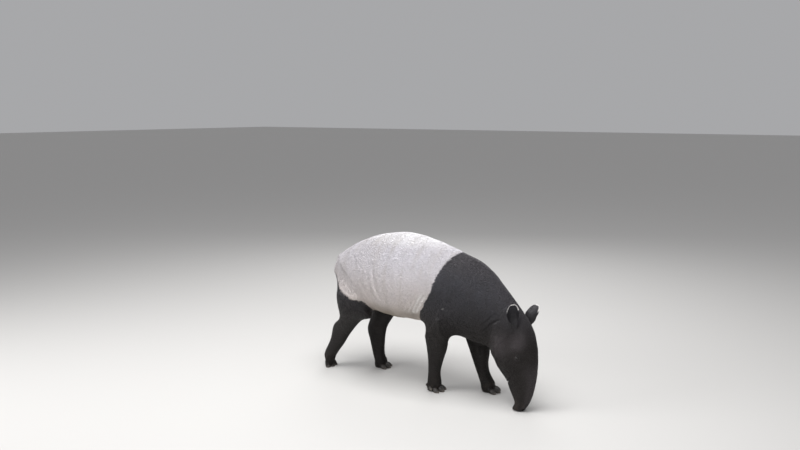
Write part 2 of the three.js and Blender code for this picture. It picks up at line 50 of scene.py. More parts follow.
# ---------------------------------------------------------------- the animal's named sizes, millimetres
# The trunk from the tail to the nose, one flat section a row: top x, top z, bottom x, bottom z, y of its
# middle, half width, height share of the widest level, roundness above and below it (2 is an ellipse).
TRUNK = {
    "buttock": (-566, 828, -562, 630, 0, 122, 0.5, 2.0, 2.0),
    "croup": (-492, 896, -484, 546, 0, 194, 0.5, 2.0, 2.0),
    "hip": (-358, 966, -352, 494, 0, 246, 0.49, 2.1, 2.0),
    "loin": (-196, 1020, -201, 460, 0, 276, 0.48, 2.1, 2.0),
    "barrel": (0, 1043, -39, 450, 0, 288, 0.46, 2.0, 2.1),
    "ribs": (211, 1009, 113, 452, 0, 276, 0.46, 1.9, 2.1),
    "saddle_edge": (424, 944, 257, 440, 0, 238, 0.47, 1.9, 2.0),
    "withers": (535, 907, 412, 392, 0, 212, 0.48, 1.9, 2.0),
    "neck_base": (638, 849, 538, 372, -3, 178, 0.48, 1.9, 2.0),
    "neck": (728, 768, 618, 364, -10, 148, 0.48, 1.9, 2.0),
    "nape": (811, 690, 664, 352, -20, 127, 0.48, 1.9, 2.0),
    "poll": (888, 615, 679, 338, -32, 116, 0.5, 1.9, 2.0),
    "brow": (960, 522, 688, 316, -42, 114, 0.52, 1.9, 2.0),
    "eye": (996, 422, 708, 292, -50, 108, 0.58, 1.8, 2.0),
    "cheek": (1009, 336, 732, 254, -57, 94, 0.58, 1.8, 2.0),
    "mouth": (1011, 266, 771, 210, -63, 76, 0.58, 1.9, 2.0),
    "lip": (1009, 206, 809, 168, -70, 60, 0.56, 2.0, 2.0),
    "trunk_root": (1003, 154, 828, 128, -77, 51, 0.54, 2.0, 2.0),
    "trunk_middle": (992, 103, 856, 84, -84, 46, 0.52, 2.0, 2.0),
    "trunk_low": (974, 53, 880, 42, -90, 42, 0.5, 2.1, 2.1),
    "nose": (950, 10, 866, 10, -94, 41, 0.5, 2.2, 2.2),
}
RUMP_DOME = {"depth": 34, "turned": 48}
NOSE_DOME = {"depth": 12, "turned": 0}

# Muscle and bone under the skin: centre, reach along x, y and z, height, and whether it is on both sides.
# On the head y is measured from the middle of the section that the point lies on.
BODY_BULGES = [
    ((-393, 215, 800), (150, 120, 140), 12, 2),
    ((-182, 250, 640), (80, 120, 110), -13, 2),
    ((59, 270, 640), (150, 120, 170), 9, 2),
    ((491, 170, 790), (95, 110, 120), 11, 2),
    ((285, 230, 620), (55, 120, 150), -10, 2),
    ((589, 0, 420), (70, 110, 60), 12, 1),
]
HEAD_BULGES = [
    ((758, 116, 402), (62, 60, 66), 17, 2),
    ((703, 139, 455), (30, 60, 70), -9, 2),
    ((884, 101, 458), (42, 50, 38), -8, 2),
    ((914, 99, 398), (48, 46, 32), 7, 2),
    ((850, 105, 344), (54, 50, 30), 7, 2),
    ((930, 75, 306), (42, 40, 34), -9, 2),
    ((885, 46, 190), (40, 40, 30), 6, 2),
    ((888, 34, 30), (34, 30, 20), 5, 2),
]

# The legs: reach before and behind the middle and half width at each station, then each leg's path as
# x, y, z and the slope of the section in degrees. flank is added before the middle, for the fold of skin
# from the belly to the stifle. foot says where the toes stand and how they are tipped.
HIND_GIRTHS = [(112, 110, 70), (142, 137, 92), (146, 124, 92), (106, 92, 69), (77, 82, 49),
               (57, 59, 41), (45, 47, 40), (46, 46, 47)]
FORE_GIRTHS = [(104, 100, 70), (140, 130, 88), (128, 116, 80), (94, 86, 64), (76, 67, 53),
               (54, 51, 46), (44, 42, 41), (50, 48, 48)]
LEGS = {
    "hind_right": {
        "girths": HIND_GIRTHS,
        "flank": [0, 10, 54, -12, -4, 0, 0, 0],
        "path": [(-407, -130, 800, 0), (-393, -150, 628, -26), (-380, -152, 505, -14),
                 (-402, -141, 405, -2), (-490, -122, 310, -14), (-553, -110, 202, -14),
                 (-618, -102, 108, -18), (-638, -99, 66, -46)],
        "foot": {"stand": (-642, -98), "turn": -4, "tip": 50, "pad": (20, -34, 22, 40), "front": False},
    },
    "hind_left": {
        "girths": HIND_GIRTHS,
        "flank": [0, -40, -90, 0, 10, 7, 0, 0],
        "path": [(-358, 130, 800, 0), (-332, 150, 628, -26), (-316, 152, 500, -10), (-324, 139, 400, 6),
                 (-360, 120, 286, 8), (-350, 108, 184, 6), (-330, 102, 94, 10), (-312, 100, 46, 4)],
        "foot": {"stand": (-296, 100), "turn": 4, "tip": 0, "pad": (26, -56, 0, 44), "front": False},
    },
    "fore_right": {
        "girths": FORE_GIRTHS,
        "flank": [0] * 8,
        "path": [(432, -98, 790, 0), (396, -146, 620, 0), (338, -142, 478, 0), (311, -126, 375, 0),
                 (299, -113, 290, 0), (287, -103, 205, 0), (275, -96, 128, 0), (274, -92, 52, 0)],
        "foot": {"stand": (284, -90), "turn": -4, "tip": 0, "pad": (26, -56, 0, 45), "front": True},
    },
    "fore_left": {
        "girths": FORE_GIRTHS,
        "flank": [0] * 8,
        "path": [(447, 98, 790, 0), (456, 140, 620, 4), (461, 138, 465, 8), (485, 119, 340, 6),
                 (507, 109, 254, 6), (524, 102, 184, 8), (546, 98, 118, 12), (580, 96, 54, 8)],
        "foot": {"stand": (606, 96), "turn": 4, "tip": 0, "pad": (26, -58, 0, 45), "front": True},
    },
}
# Toes: name, place across, turn outward, reach forward, size, lift.
HIND_TOES = [("inner", -36, -13, 22, 0.84, 0), ("middle", 0, 0, 30, 0.96, 0), ("outer", 36, 13, 22, 0.84, 0)]
FORE_TOES = [("inner", -37, -14, 22, 0.86, 0), ("middle", 0, 0, 30, 0.98, 0), ("outer", 37, 13, 20, 0.86, 0),
             ("side", 47, 28, -14, 0.6, 15)]
HOOF_LENGTH = 40

EYE_RADIUS = 13.8
EYE = (906, 91.6, 357)  # x, side from the y of the head's middle there, z
EYE_MIDDLE = -52.4
LID_SLANT = 62  # how far the long axis of the opening points below forward, in degrees
LID_OPENING = (11.0, 7.0)  # half its length and half its height
EAR_LENGTH, EAR_WIDTH, EAR_THICKNESS = 134, 90, 5
EARS = {
    "right": {"base": (871, -119, 551), "along": (-0.04, -0.07, 0.99), "open": (0.80, -0.55, -0.2)},
    "left": {"base": (894, 34, 537), "along": (0.2, 0.59, 0.78), "open": (0.26, 0.96, 0)},
}
# share of the length from base to tip, width share, roll in degrees each side of the ear's back
EAR_FORM = [(-0.3, 0.44, 150), (-0.12, 0.52, 150), (0.06, 0.66, 128), (0.26, 0.88, 100), (0.5, 1, 74),
            (0.72, 0.92, 58), (0.88, 0.68, 46), (0.97, 0.38, 38), (1.0, 0.1, 34)]
TAIL = [(-540, 0, 826, 26), (-556, 0, 824, 28), (-590, 0, 806, 26), (-612, 0, 774, 21), (-620, 0, 740, 15),
        (-623, 0, 714, 8)]
NOSTRIL = (942, 19, 13)
MOUTH = [(868, 204), (850, 182), (826, 161), (780, 124), (776, 130), (820, 166), (845, 188)]

# The border of the pale saddle. In front it is an x for each height, behind a height for each x. The
# skin of the left side is drawn forward with its legs.
SADDLE_FRONT = [(380, 150), (440, 175), (482, 192), (559, 233), (609, 270), (713, 330), (816, 358),
                (901, 394), (945, 420), (1050, 440)]
SADDLE_REAR = [(-640, 745), (-570, 727), (-530, 709), (-493, 682), (-440, 634), (-355, 590),
               (-283, 546), (-247, 503), (-222, 450), (-195, 380), (-150, 100)]

# Folds of the skin, each a line on the right side, the width of its hollow, its depth, how pale its lips
# are, and whether the left side has it too.
FOLDS = [
    ([(-118, -262, 850), (-104, -270, 790), (-91, -282, 713), (-63, -277, 648), (-30, -270, 590)],
     17, 4.5, 0, 2),
    ([(-215, -240, 760), (-205, -255, 690), (-190, -250, 610)], 20, 2.5, 0, 2),
    ([(30, -268, 800), (52, -282, 700), (60, -268, 600)], 24, 2.0, 0, 2),
    ([(192, -205, 530), (209, -225, 574), (253, -242, 640), (290, -238, 700)], 8, 3.6, 0.9, 2),
    ([(150, -212, 530), (176, -228, 560), (230, -250, 640), (262, -246, 700)], 8, 2.6, 0.35, 2),
    ([(112, -218, 530), (140, -228, 557), (205, -256, 648)], 9, 1.8, 0.15, 2),
    ([(651, -138, 470), (666, -142, 486), (717, -144, 534), (762, -136, 566), (800, -128, 578)],
     8, 4.5, 0, 2),
    ([(636, -152, 505), (690, -150, 552), (735, -142, 594), (772, -128, 616)], 7, 2.6, 0, 2),
    ([(708, -144, 508), (752, -146, 540), (796, -138, 552)], 6, 1.8, 0, 2),
    ([(700, -128, 420), (684, -88, 372), (676, -30, 350), (684, 30, 366), (700, 74, 420)], 9, 3.2, 0, 1),
    ([(668, -128, 410), (650, -84, 368), (646, -26, 354), (652, 34, 368), (668, 84, 412)], 10, 2.6, 0, 1),
    ([(626, -138, 405), (612, -84, 372), (610, -16, 362), (612, 50, 372), (626, 110, 405)], 12, 2.4, 0, 1),
    ([(-470, -206, 455), (-432, -214, 430), (-380, -222, 428), (-330, -214, 446)], 12, 3.0, 0, 1),
    ([(880, -150, 404), (910, -142, 392), (938, -124, 378)], 7, 1.2, 0, 2),
    ([(876, -150, 322), (904, -140, 306), (930, -126, 302)], 6, 1.6, 0, 2),
    ([(832, -136, 262), (852, -132, 236), (868, -128, 208), (880, -122, 184)], 7, 2.6, 0, 2),
]

# Healed scars: a line, its half width and how pale it is.
SCARS = [
    ([(400, -236, 603), (410, -234, 612), (412, -214, 614)], 8, 0.85),
    ([(500, 59, 243), (536, 60, 246), (573, 113, 242)], 3.5, 0.35),
]

# How deep the coat lies on the skin, at the body, the face and the feet.
COAT_DEPTH = {"body": 4.0, "face": 2.0, "foot": 1.2}
SOLE = 0.8  # height of the skin's lowest point above the floor

# A tuft's length on the body and on the ears, and how much shorter it is on the thighs, the feet and the
# face. Its width is a share of its length, and its lift is in degrees.
TUFT_LENGTH, EAR_TUFT = 15, (5.0, 0.9)
TUFT_SHORTER = {"thigh": 3.5, "foot": 4.5, "face": 8}
TUFT_WIDTH = {"legs": 0.21, "body": 0.27, "face_less": 0.05}
TUFT_LIFT, EAR_LIFT = 5.5, 4.0

eye_low, eye_high = (np.array(corner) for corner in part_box("eye_right"))
SHIFT = np.array([(eye_low[0] + eye_high[0]) / 2 - EYE[0] * MM, 0.0, 0.0])
SIDEWAYS = np.array([0.0, 1.0, 0.0])


def metres(points):
    """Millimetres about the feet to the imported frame's metres: times 0.001, then moved along x."""
    return np.asarray(points) * MM + SHIFT


def unit(vectors):
    """Vectors divided by their lengths."""
    vectors = np.asarray(vectors, float)
    return vectors / np.maximum(np.linalg.norm(vectors, axis=-1, keepdims=True), 1e-9)


def ramp(low, high, values):
    """0 below low, 1 above high, and a smooth 3t^2 - 2t^3 between them."""
    t = np.clip((np.asarray(values, float) - low) / (high - low), 0, 1)
    return t * t * (3 - 2 * t)


# ---------------------------------------------------------------- curves and sections
def smooth_rows(rows, steps):
    """A cubic through rows that stand at 0, 1, 2, ...; the slope at a row is half the step from the row
    before it to the row after it. One result for each place in steps."""
    rows = np.asarray(rows, float)
    slopes = np.gradient(rows, axis=0)
    low = np.clip(np.floor(steps).astype(int), 0, len(rows) - 2)
    f = (np.asarray(steps) - low)[:, None]
    return (rows[low] * (2 * f**3 - 3 * f**2 + 1) + slopes[low] * (f**3 - 2 * f**2 + f)
            + rows[low + 1] * (3 * f**2 - 2 * f**3) + slopes[low + 1] * (f**3 - f**2))


def bell(q):
    """A hump of height 1 at q = 0: exp(-q^2)."""
    return np.exp(-(q**2))


def even_steps(rows, columns, spacing):
    """Places along smoothed rows, each spacing(t) millimetres after the one before, measured along the
    path of the given columns: equal steps of the running sum of length over spacing."""
    fine = np.linspace(0, len(rows) - 1, 2000)
    path = smooth_rows(rows, fine)[:, columns]
    lengths = np.linalg.norm(np.diff(path, axis=0), axis=1) / spacing((fine[1:] + fine[:-1]) / 2)
    run = np.concatenate([[0], np.cumsum(lengths)])
    return np.interp(np.linspace(0, run[-1], int(round(run[-1])) + 1), run, fine)


def section_grid(rows, around, inset):
    """One flat ring a row: middle + rise * reach * signed power of the cosine + sideways * half width *
    signed power of the sine. Reach and power differ above and below the widest level."""
    top, bottom = rows[:, [0, 4, 1]], rows[:, [2, 4, 3]]
    height = np.linalg.norm(top - bottom, axis=1, keepdims=True)
    rise = (top - bottom) / height
    share = rows[:, 6:7]
    middle = bottom + rise * height * share
    angle = np.linspace(0, 2 * np.pi, around, endpoint=False)[None, :]
    cos, sin = np.cos(angle), np.sin(angle)
    power = 2 / np.where(cos >= 0, rows[:, 7:8], rows[:, 8:9])
    up = (np.where(cos >= 0, 1 - share, share) * height - inset) * np.sign(cos) * np.abs(cos) ** power
    out = (rows[:, 5:6] - inset) * np.sign(sin) * np.abs(sin) ** power
    return middle[:, None] + up[..., None] * rise[:, None] + out[..., None] * SIDEWAYS


def dome_rings(ring, before, depth, turned, steps):
    """Rings that close an end with part of an ellipsoid: the ring shrunk by the cosine of an angle that
    goes to 90 degrees, and moved out along its own normal by depth times the sine."""
    middle = ring.mean(axis=0)
    normal = unit(np.cross(ring[0] - middle, ring[len(ring) // 4] - middle))
    normal = normal * np.sign(normal @ (middle - before.mean(axis=0)))
    first = math.radians(turned)
    angle = first + np.arange(1, steps + 1) / (steps + 0.35) * (np.pi / 2 - first)
    size = np.cos(angle) / math.cos(first)
    rise = (np.sin(angle) - math.sin(first)) / (1 - math.sin(first))
    return middle + size[:, None, None] * (ring - middle) + (depth * rise)[:, None, None] * normal


def with_bulges(grid, bulges, middle_y):
    """Points pushed out from their ring's middle by the sum of height * exp(-(distance / reach)^2), where
    y is measured from each ring's middle_y."""
    out = unit(grid - grid.mean(axis=1, keepdims=True))
    push = np.zeros(grid.shape[:2])
    for at, reach, height, sides in bulges:
        for side in (1, -1)[:sides]:
            away = (grid - middle_y[:, None, None] * SIDEWAYS - (at[0], side * at[1], at[2])) / reach
            push += height * np.exp(-(away**2).sum(axis=-1))
    return grid + push[..., None] * out


def turned(degrees, axis):
    """A 3x3 turn about one of the axes, 0 for x, 1 for y and 2 for z."""
    c, s = math.cos(math.radians(degrees)), math.sin(math.radians(degrees))
    i, j = (axis + 1) % 3, (axis + 2) % 3
    turn = np.eye(3)
    turn[i, i], turn[i, j], turn[j, i], turn[j, j] = c, -s, s, c
    return turn


# ---------------------------------------------------------------- the parts of the skin, as grids
AROUND = 148


def trunk_grid():
    """The trunk's sections from tail to nose, close together on the face, a dome at either end."""
    rows = np.array(list(TRUNK.values()), float)
    steps = even_steps(rows, [0, 1], lambda t: 10.5 - 6.3 * ramp(8, 12, t))
    depth = COAT_DEPTH["body"] + (COAT_DEPTH["face"] - COAT_DEPTH["body"]) * ramp(8, 13, steps)
    depth = depth - 0.9 * ramp(16, 19, steps)
    rows = smooth_rows(rows, steps)
    grid = with_bulges(section_grid(rows, AROUND, depth[:, None]), BODY_BULGES, 0 * steps)
    grid = with_bulges(grid, HEAD_BULGES, rows[:, 4])
    rump = dome_rings(grid[0], grid[1], RUMP_DOME["depth"], RUMP_DOME["turned"], 14)[::-1]
    nose = dome_rings(grid[-1], grid[-2], NOSE_DOME["depth"], NOSE_DOME["turned"], 10)
    grid = np.concatenate([rump, grid, nose])
    grid[..., 2] = np.maximum(grid[..., 2], SOLE)
    return grid


def foot_turn(foot):
    """How a foot is turned on the floor and tipped onto its toes."""
    return turned(foot["turn"], 2) @ turned(foot["tip"], 1)


def foot_place(foot):
    """The point of the floor under the middle of a foot's toes."""
    return np.array([*foot["stand"], 0.0])


def leg_grid(leg, around=64):
    """A leg's sections from inside the body to its foot, a dome on top and the rounded pad below."""
    path, girths = np.array(leg["path"], float), np.array(leg["girths"], float)
    lean = np.radians(path[:, 3])
    before, behind = girths[:, 0] + leg["flank"], girths[:, 1]
    rows = np.stack([
        path[:, 0] + before * np.cos(lean), path[:, 2] + before * np.sin(lean),
        path[:, 0] - behind * np.cos(lean), path[:, 2] - behind * np.sin(lean),
        path[:, 1], girths[:, 2], behind / (before + behind), 0 * before + 2, 0 * before + 2], axis=1)
    steps = even_steps(path, [0, 1, 2], lambda t: 10.5 - 5.0 * ramp(4, 7, t))
    depth = COAT_DEPTH["body"] + (COAT_DEPTH["foot"] - COAT_DEPTH["body"]) * ramp(2, 6, steps)
    grid = section_grid(smooth_rows(rows, steps), around, depth[:, None])
    foot = leg["foot"]
    front, rear, height, half_width = foot["pad"]
    pad = np.array([[front, height - 1, rear, height - 1, 0, half_width, 0.5, 2.4, 2.2]])
    pad = section_grid(pad, around, COAT_DEPTH["foot"])[0]
    pad = pad @ foot_turn(foot).T + foot_place(foot)
    t = np.linspace(0, 1, 11)[1:, None, None]
    swell = 1 + 0.05 * np.sin(np.pi * t)
    down = grid[-1] + (pad - grid[-1]) * t
    down = down.mean(axis=1, keepdims=True) + (down - down.mean(axis=1, keepdims=True)) * swell
    shrink = np.array([0.93, 0.8, 0.6, 0.35, 0.12])[:, None, None]
    sole = pad.mean(axis=0) + (pad - pad.mean(axis=0)) * shrink
    sole = sole + (foot_turn(foot) @ np.array([0, 0, -1.0])) * 4 * (1 - shrink**2)
    top = dome_rings(grid[0], grid[1], 40, 0, 8)[::-1]
    grid = np.concatenate([top, grid, down, sole])
    grid[..., 2] = np.maximum(grid[..., 2], SOLE)
    return grid


def outward(name):
    """Which way along y is away from the body on a leg: 1 on the left and -1 on the right."""
    return 1 if name.endswith("left") else -1


def leg_toes(leg):
    """A leg's toes: four in front and three behind."""
    return FORE_TOES if leg["foot"]["front"] else HIND_TOES


def toe_frame(foot, toe, side):
    """The turn and place of one toe: on its foot, out along it, across it and turned outward."""
    _, across, turn, out, _, lift = toe
    back = (-14, 0, 8) if foot["tip"] else (0, 0, 0)
    place = foot_turn(foot) @ (np.array(back) + (out, side * across, lift)) + foot_place(foot)
    return foot_turn(foot) @ turned(side * turn, 2), place


def toe_grid(foot, toe, side, around=28):
    """One toe: sections from inside the foot to just past the top of its hoof, with a round end."""
    s = toe[4]
    rows = np.array([
        [-46, 50 * s, -46, 6, 0, 17 * s, 0.45, 2, 2],
        [-26 * s, 45 * s, -26 * s, -2, 0, 19 * s, 0.45, 2, 2.4],
        [-3, 38 * s, -3, -3, 0, 20 * s, 0.4, 2.1, 2.6]])
    grid = section_grid(smooth_rows(rows, np.linspace(0, 2, 12)), around, COAT_DEPTH["foot"])
    grid = np.concatenate([grid, dome_rings(grid[-1], grid[-2], 5, 0, 6)])
    turn, place = toe_frame(foot, toe, side)
    grid = grid @ turn.T + place
    grid[..., 2] = np.maximum(grid[..., 2], SOLE)
    return grid


def hoof_grid(foot, toe, side, around=40):
    """A hoof: sections from inside the toe to the worn tip, rounded above and in front, flat below, with
    a low ring of growth every few millimetres."""
    s = toe[4]
    rows = np.array([
        [-9, 31 * s, -9, 2, 0, 16 * s, 0.35, 2.2, 3],
        [0, 35 * s, 0, -2, 0, 19 * s, 0.35, 2.2, 3],
        [11 * s, 33 * s, 10 * s, -3, 0, 20 * s, 0.3, 2.2, 3],
        [24 * s, 25 * s, 22 * s, -3, 0, 18 * s, 0.3, 2.1, 3],
        [HOOF_LENGTH * 0.86 * s, 15 * s, HOOF_LENGTH * 0.84 * s, -3, 0, 13 * s, 0.3, 2, 3],
        [HOOF_LENGTH * 0.95 * s, 9 * s, HOOF_LENGTH * 0.95 * s, -3, 0, 8.5 * s, 0.3, 2, 2.5]])
    steps = np.linspace(0, 5, 31)
    growth = 0.25 * np.sin(steps * 9.0) * ramp(0.8, 1.4, steps)
    grid = section_grid(smooth_rows(rows, steps), around, -growth[:, None])
    grid = np.concatenate([grid, dome_rings(grid[-1], grid[-2], 2.2 * s, 0, 5)])
    turn, place = toe_frame(foot, toe, side)
    grid = grid @ turn.T + place
    grid[..., 2] = np.maximum(grid[..., 2], 0.0)
    return grid


def ear_grid(base, along, open_to, around=44):
    """A leaf rolled about its own length: at share s of the length and turn a of the roll a point is
    base + up * s * length + wide * r * sin(a) + mouth * (r - back - r * cos(a)), with r less by the
    thickness on the inside, and the thickness falls to nothing at the rim along a quarter circle. Its
    mark is 1 on the pale rim of the tip and -2 inside the cup."""
    up = unit(along)
    mouth = unit(np.array(open_to) - up * (up @ np.array(open_to)))
    wide = np.cross(up, mouth)
    steps = np.concatenate([np.linspace(0, 7, 46), 7 + ramp(0, 1, np.linspace(0, 1, 9)[1:]) * 0.99])
    share, width, roll = smooth_rows(EAR_FORM, steps).T
    angle = np.radians(roll)[:, None]
    radius = (EAR_WIDTH * np.maximum(width, 0.05)[:, None]) / 2 / np.sin(np.minimum(angle, np.pi / 2))
    back = radius * np.minimum(1, 1.1 - np.cos(angle))
    across = np.sin(np.linspace(-np.pi / 2, np.pi / 2, around // 2))[None, :]
    thick = EAR_THICKNESS * np.sqrt(1 - np.abs(across) ** 5) * (1 - 0.55 * ramp(0.1, 0.9, share)[:, None])

    def leaf(inset, turn):
        r = radius - inset
        depth = radius - back - r * np.cos(turn)
        return (np.array(base) + (share * EAR_LENGTH)[:, None, None] * up
                + (r * np.sin(turn))[..., None] * wide + depth[..., None] * mouth)

    turn = angle * across
    outer = leaf(1.0 + 0 * thick, turn)
    inner = leaf(1.0 + thick, turn)[:, ::-1]
    rim = ramp(0.74, 0.88, np.abs(across)) * ramp(0.56, 0.7, share)[:, None]
    rim = rim + ramp(0.9, 0.95, share)[:, None]
    rim = np.clip(np.concatenate([rim, rim[:, ::-1][:, 1:-1]], axis=1), 0, 1)
    cup = np.concatenate([0 * across[0], 0 * across[0][1:-1] + 1])[None, :] + 0 * share[:, None]
    return np.concatenate([outer, inner[:, 1:-1]], axis=1), rim - 2 * cup * (1 - rim)


def tube_grid(stations, around, dome):
    """A tapered tube through points with a radius each: rings across the path, and a round end."""
    stations = smooth_rows(stations, np.linspace(0, len(stations) - 1, 6 * len(stations)))
    along = unit(np.gradient(stations[:, :3], axis=0))
    up = np.cross(along, SIDEWAYS)
    angle = np.linspace(0, 2 * np.pi, around, endpoint=False)[None, :, None]
    grid = stations[:, None, :3] + stations[:, None, 3:] * (
        up[:, None] * np.cos(angle) + SIDEWAYS * np.sin(angle))
    return np.concatenate([grid, dome_rings(grid[-1], grid[-2], dome, 0, 5)])


def ball_grid(centre, sizes, turn, rings=26, around=40):
    """An ellipsoid of rings about its second axis: centre + turn * (sizes * the unit sphere)."""
    polar = np.linspace(0, np.pi, rings)[1:-1][:, None]
    angle = np.linspace(0, 2 * np.pi, around, endpoint=False)[None, :]
    sphere = np.stack([np.sin(polar) * np.cos(angle), np.cos(polar) + 0 * angle,
                       np.sin(polar) * np.sin(angle)], axis=-1)
    return np.array(centre) + (sphere * sizes) @ np.asarray(turn).T


def eye_frame(side):
    """An eye's centre, and its axes as columns: toward the nose, out from the head, and across the lids
    toward the brow. Out is the slant of the head's surface there."""
    out = unit([0.33, side, -0.09])
    along = np.array([math.cos(math.radians(LID_SLANT)), 0, -math.sin(math.radians(LID_SLANT))])
    along = unit(along - out * (along @ out))
    brow = np.cross(along, out)
    brow = brow * np.sign(brow[0])
    return np.array([EYE[0], EYE_MIDDLE + side * EYE[1], EYE[2]]), np.stack([along, out, brow], axis=1)


def lid_opening(angle, grow):
    """The almond between the lids: its length and height, the corner toward the nose drawn out."""
    cos, sin = np.cos(angle), np.sin(angle)
    length = np.where(cos > 0, LID_OPENING[0] * 1.14, LID_OPENING[0]) + grow
    height = np.where(sin > 0, LID_OPENING[1] * 1.08, LID_OPENING[1] * 0.92) + grow
    return length * cos, height * sin * np.abs(sin) ** 0.25


def lid_grid(side, around=84):
    """The two lids as one low mound over the eyeball. Out from the opening its height over the eye's
    centre goes from just above the eyeball, over the thick edge, down into a crease, over a soft fold,
    and under the skin of the head; the upper lid's crease and fold are the deeper."""
    centre, axes = eye_frame(side)
    angle = np.linspace(0, 2 * np.pi, around, endpoint=False)
    upper = ramp(-0.4, 0.6, np.sin(angle))
    out = np.concatenate([np.linspace(-5, 0, 5), np.linspace(0.7, 27, 40)])[:, None]
    x, y = lid_opening(angle[None, :], np.maximum(out, -0.6 * LID_OPENING[1]))
    x0, y0 = lid_opening(angle[None, :], 0 * out)
    near, rim = (np.sqrt(np.maximum((EYE_RADIUS + 0.6) ** 2 - a**2 - b**2, 9.0))
                 for a, b in ((x, y), (x0, y0)))
    skin = 8.6 - 0.0036 * x**2 - 0.0018 * y**2
    edge = 1.7 * bell((out - 1.6) / 2.2)
    crease = -(1.5 + 1.5 * upper) * bell((out - 6.2) / 1.7)
    second = -(0.8 + 0.5 * upper) * bell((out - 12.5) / 1.6)
    fold = (2.6 + 2.4 * upper) * bell((out - 9.5) / 6.5)
    blend = ramp(-1.0, 9.0, out)
    height = np.where(out < 0, near, rim) * (1 - blend) + (skin + fold) * blend + edge + crease + second
    height = height - 5.5 * ramp(15, 27, out)
    top = centre + np.stack([x, height, y], axis=-1) @ axes.T
    last = top[-1] - axes[:, 1] * 12
    middle = last.mean(axis=0)
    return np.concatenate([top, [last, middle + (last - middle) * 0.5]])


def socket_grids(side):
    """What the eye's place is cut with: a ball just larger than the eye, and a flared almond in front."""
    centre, axes = eye_frame(side)
    ball = ball_grid(centre, np.full(3, EYE_RADIUS + 0.3), axes)
    angle = np.linspace(0, 2 * np.pi, 72, endpoint=False)[None, :]
    out = np.linspace(6, 19, 12)[:, None]
    x, y = lid_opening(angle, 0.16 * np.maximum(out - 9, 0) ** 1.2)
    return ball, centre + np.stack([x, out + 0 * x, y], axis=-1) @ axes.T


def nostril_grid(side):
    """A comma-shaped hollow: an ellipsoid bent outward along its length."""
    middle = np.array([NOSTRIL[0], TRUNK["nose"][4] + side * NOSTRIL[1], NOSTRIL[2]])
    grid = ball_grid((0, 0, 0), (14, 6.5, 15), np.eye(3))
    grid[..., 1] += 5 - 0.035 * (grid[..., 0] + 4) ** 2
    grid = (grid * (1, side, 1)) @ turned(16 * side, 2).T @ turned(-14, 1).T
    return grid + middle


def mouth_grid():
    """The slit between the lower lip and the trunk: its outline smoothed, and carried across the head in
    an arc, so that the lip is round."""
    outline = smooth_rows(np.array([*MOUTH, MOUTH[0]], float), np.linspace(0, len(MOUTH), 57)[:-1])
    across = np.linspace(-130, 130, 27)[:, None]
    sag = 0.0045 * across**2
    x, z = outline[:, 0] - 0.69 * sag, outline[:, 1] + 0.72 * sag
    return np.stack([x, across + TRUNK["lip"][4] + 0 * x, z], axis=-1)


# ---------------------------------------------------------------- meshes from grids
def grid_faces(rows, around):
    """Two triangles in each cell between neighbouring rings and a fan to a pole at either end, with the
    two numbers of the unwrap, round the ring and along the grid, at every corner."""
    i, j = np.meshgrid(np.arange(rows - 1), np.arange(around), indexing="ij")
    after = (j + 1) % around
    cells = np.stack([i * around + j, i * around + after, (i + 1) * around + after, (i + 1) * around + j], -1)
    cell_uv = np.stack([np.stack([j, j + 1, j + 1, j], -1) / around,
                        np.stack([i, i, i + 1, i + 1], -1) / (rows - 1)], axis=-1)
    halves = [0, 1, 2, 0, 2, 3]
    cells, cell_uv = cells[..., halves].reshape(-1, 3), cell_uv[..., halves, :].reshape(-1, 3, 2)
    k = np.arange(around)
    k_after = (k + 1) % around
    last = (rows - 1) * around
    fans = np.concatenate([
        np.stack([0 * k + rows * around, k_after, k], -1),
        np.stack([0 * k + rows * around + 1, last + k, last + k_after], -1)])
    fan_u = np.concatenate([np.stack([k + 0.5, k + 1, k], -1), np.stack([k + 0.5, k, k + 1], -1)]) / around
    fan_v = np.repeat([0.0, 1.0], around)[:, None] + np.zeros((2 * around, 3))
    return np.concatenate([cells, fans]), np.concatenate([cell_uv, np.stack([fan_u, fan_v], -1)])


def read_values(mesh, name, width=1):
    """One of a mesh's point attributes as an array."""
    values = np.zeros(len(mesh.vertices) * width)
    mesh.attributes[name].data.foreach_get("value" if width == 1 else "vector", values)
    return values if width == 1 else values.reshape(-1, width)


def write_values(mesh, name, values):
    """An array of numbers or vectors as a point attribute, made where it is missing."""
    kind, key = ("FLOAT", "value") if values.ndim == 1 else ("FLOAT_VECTOR", "vector")
    layer = mesh.attributes.get(name) or mesh.attributes.new(name, kind, "POINT")
    layer.data.foreach_set(key, values.astype(np.float32).ravel())


def new_object(name, mesh):
    """A mesh's object in the scene, at the origin."""
    obj = bpy.data.objects.new(name, mesh)
    bpy.context.scene.collection.objects.link(obj)
    return obj


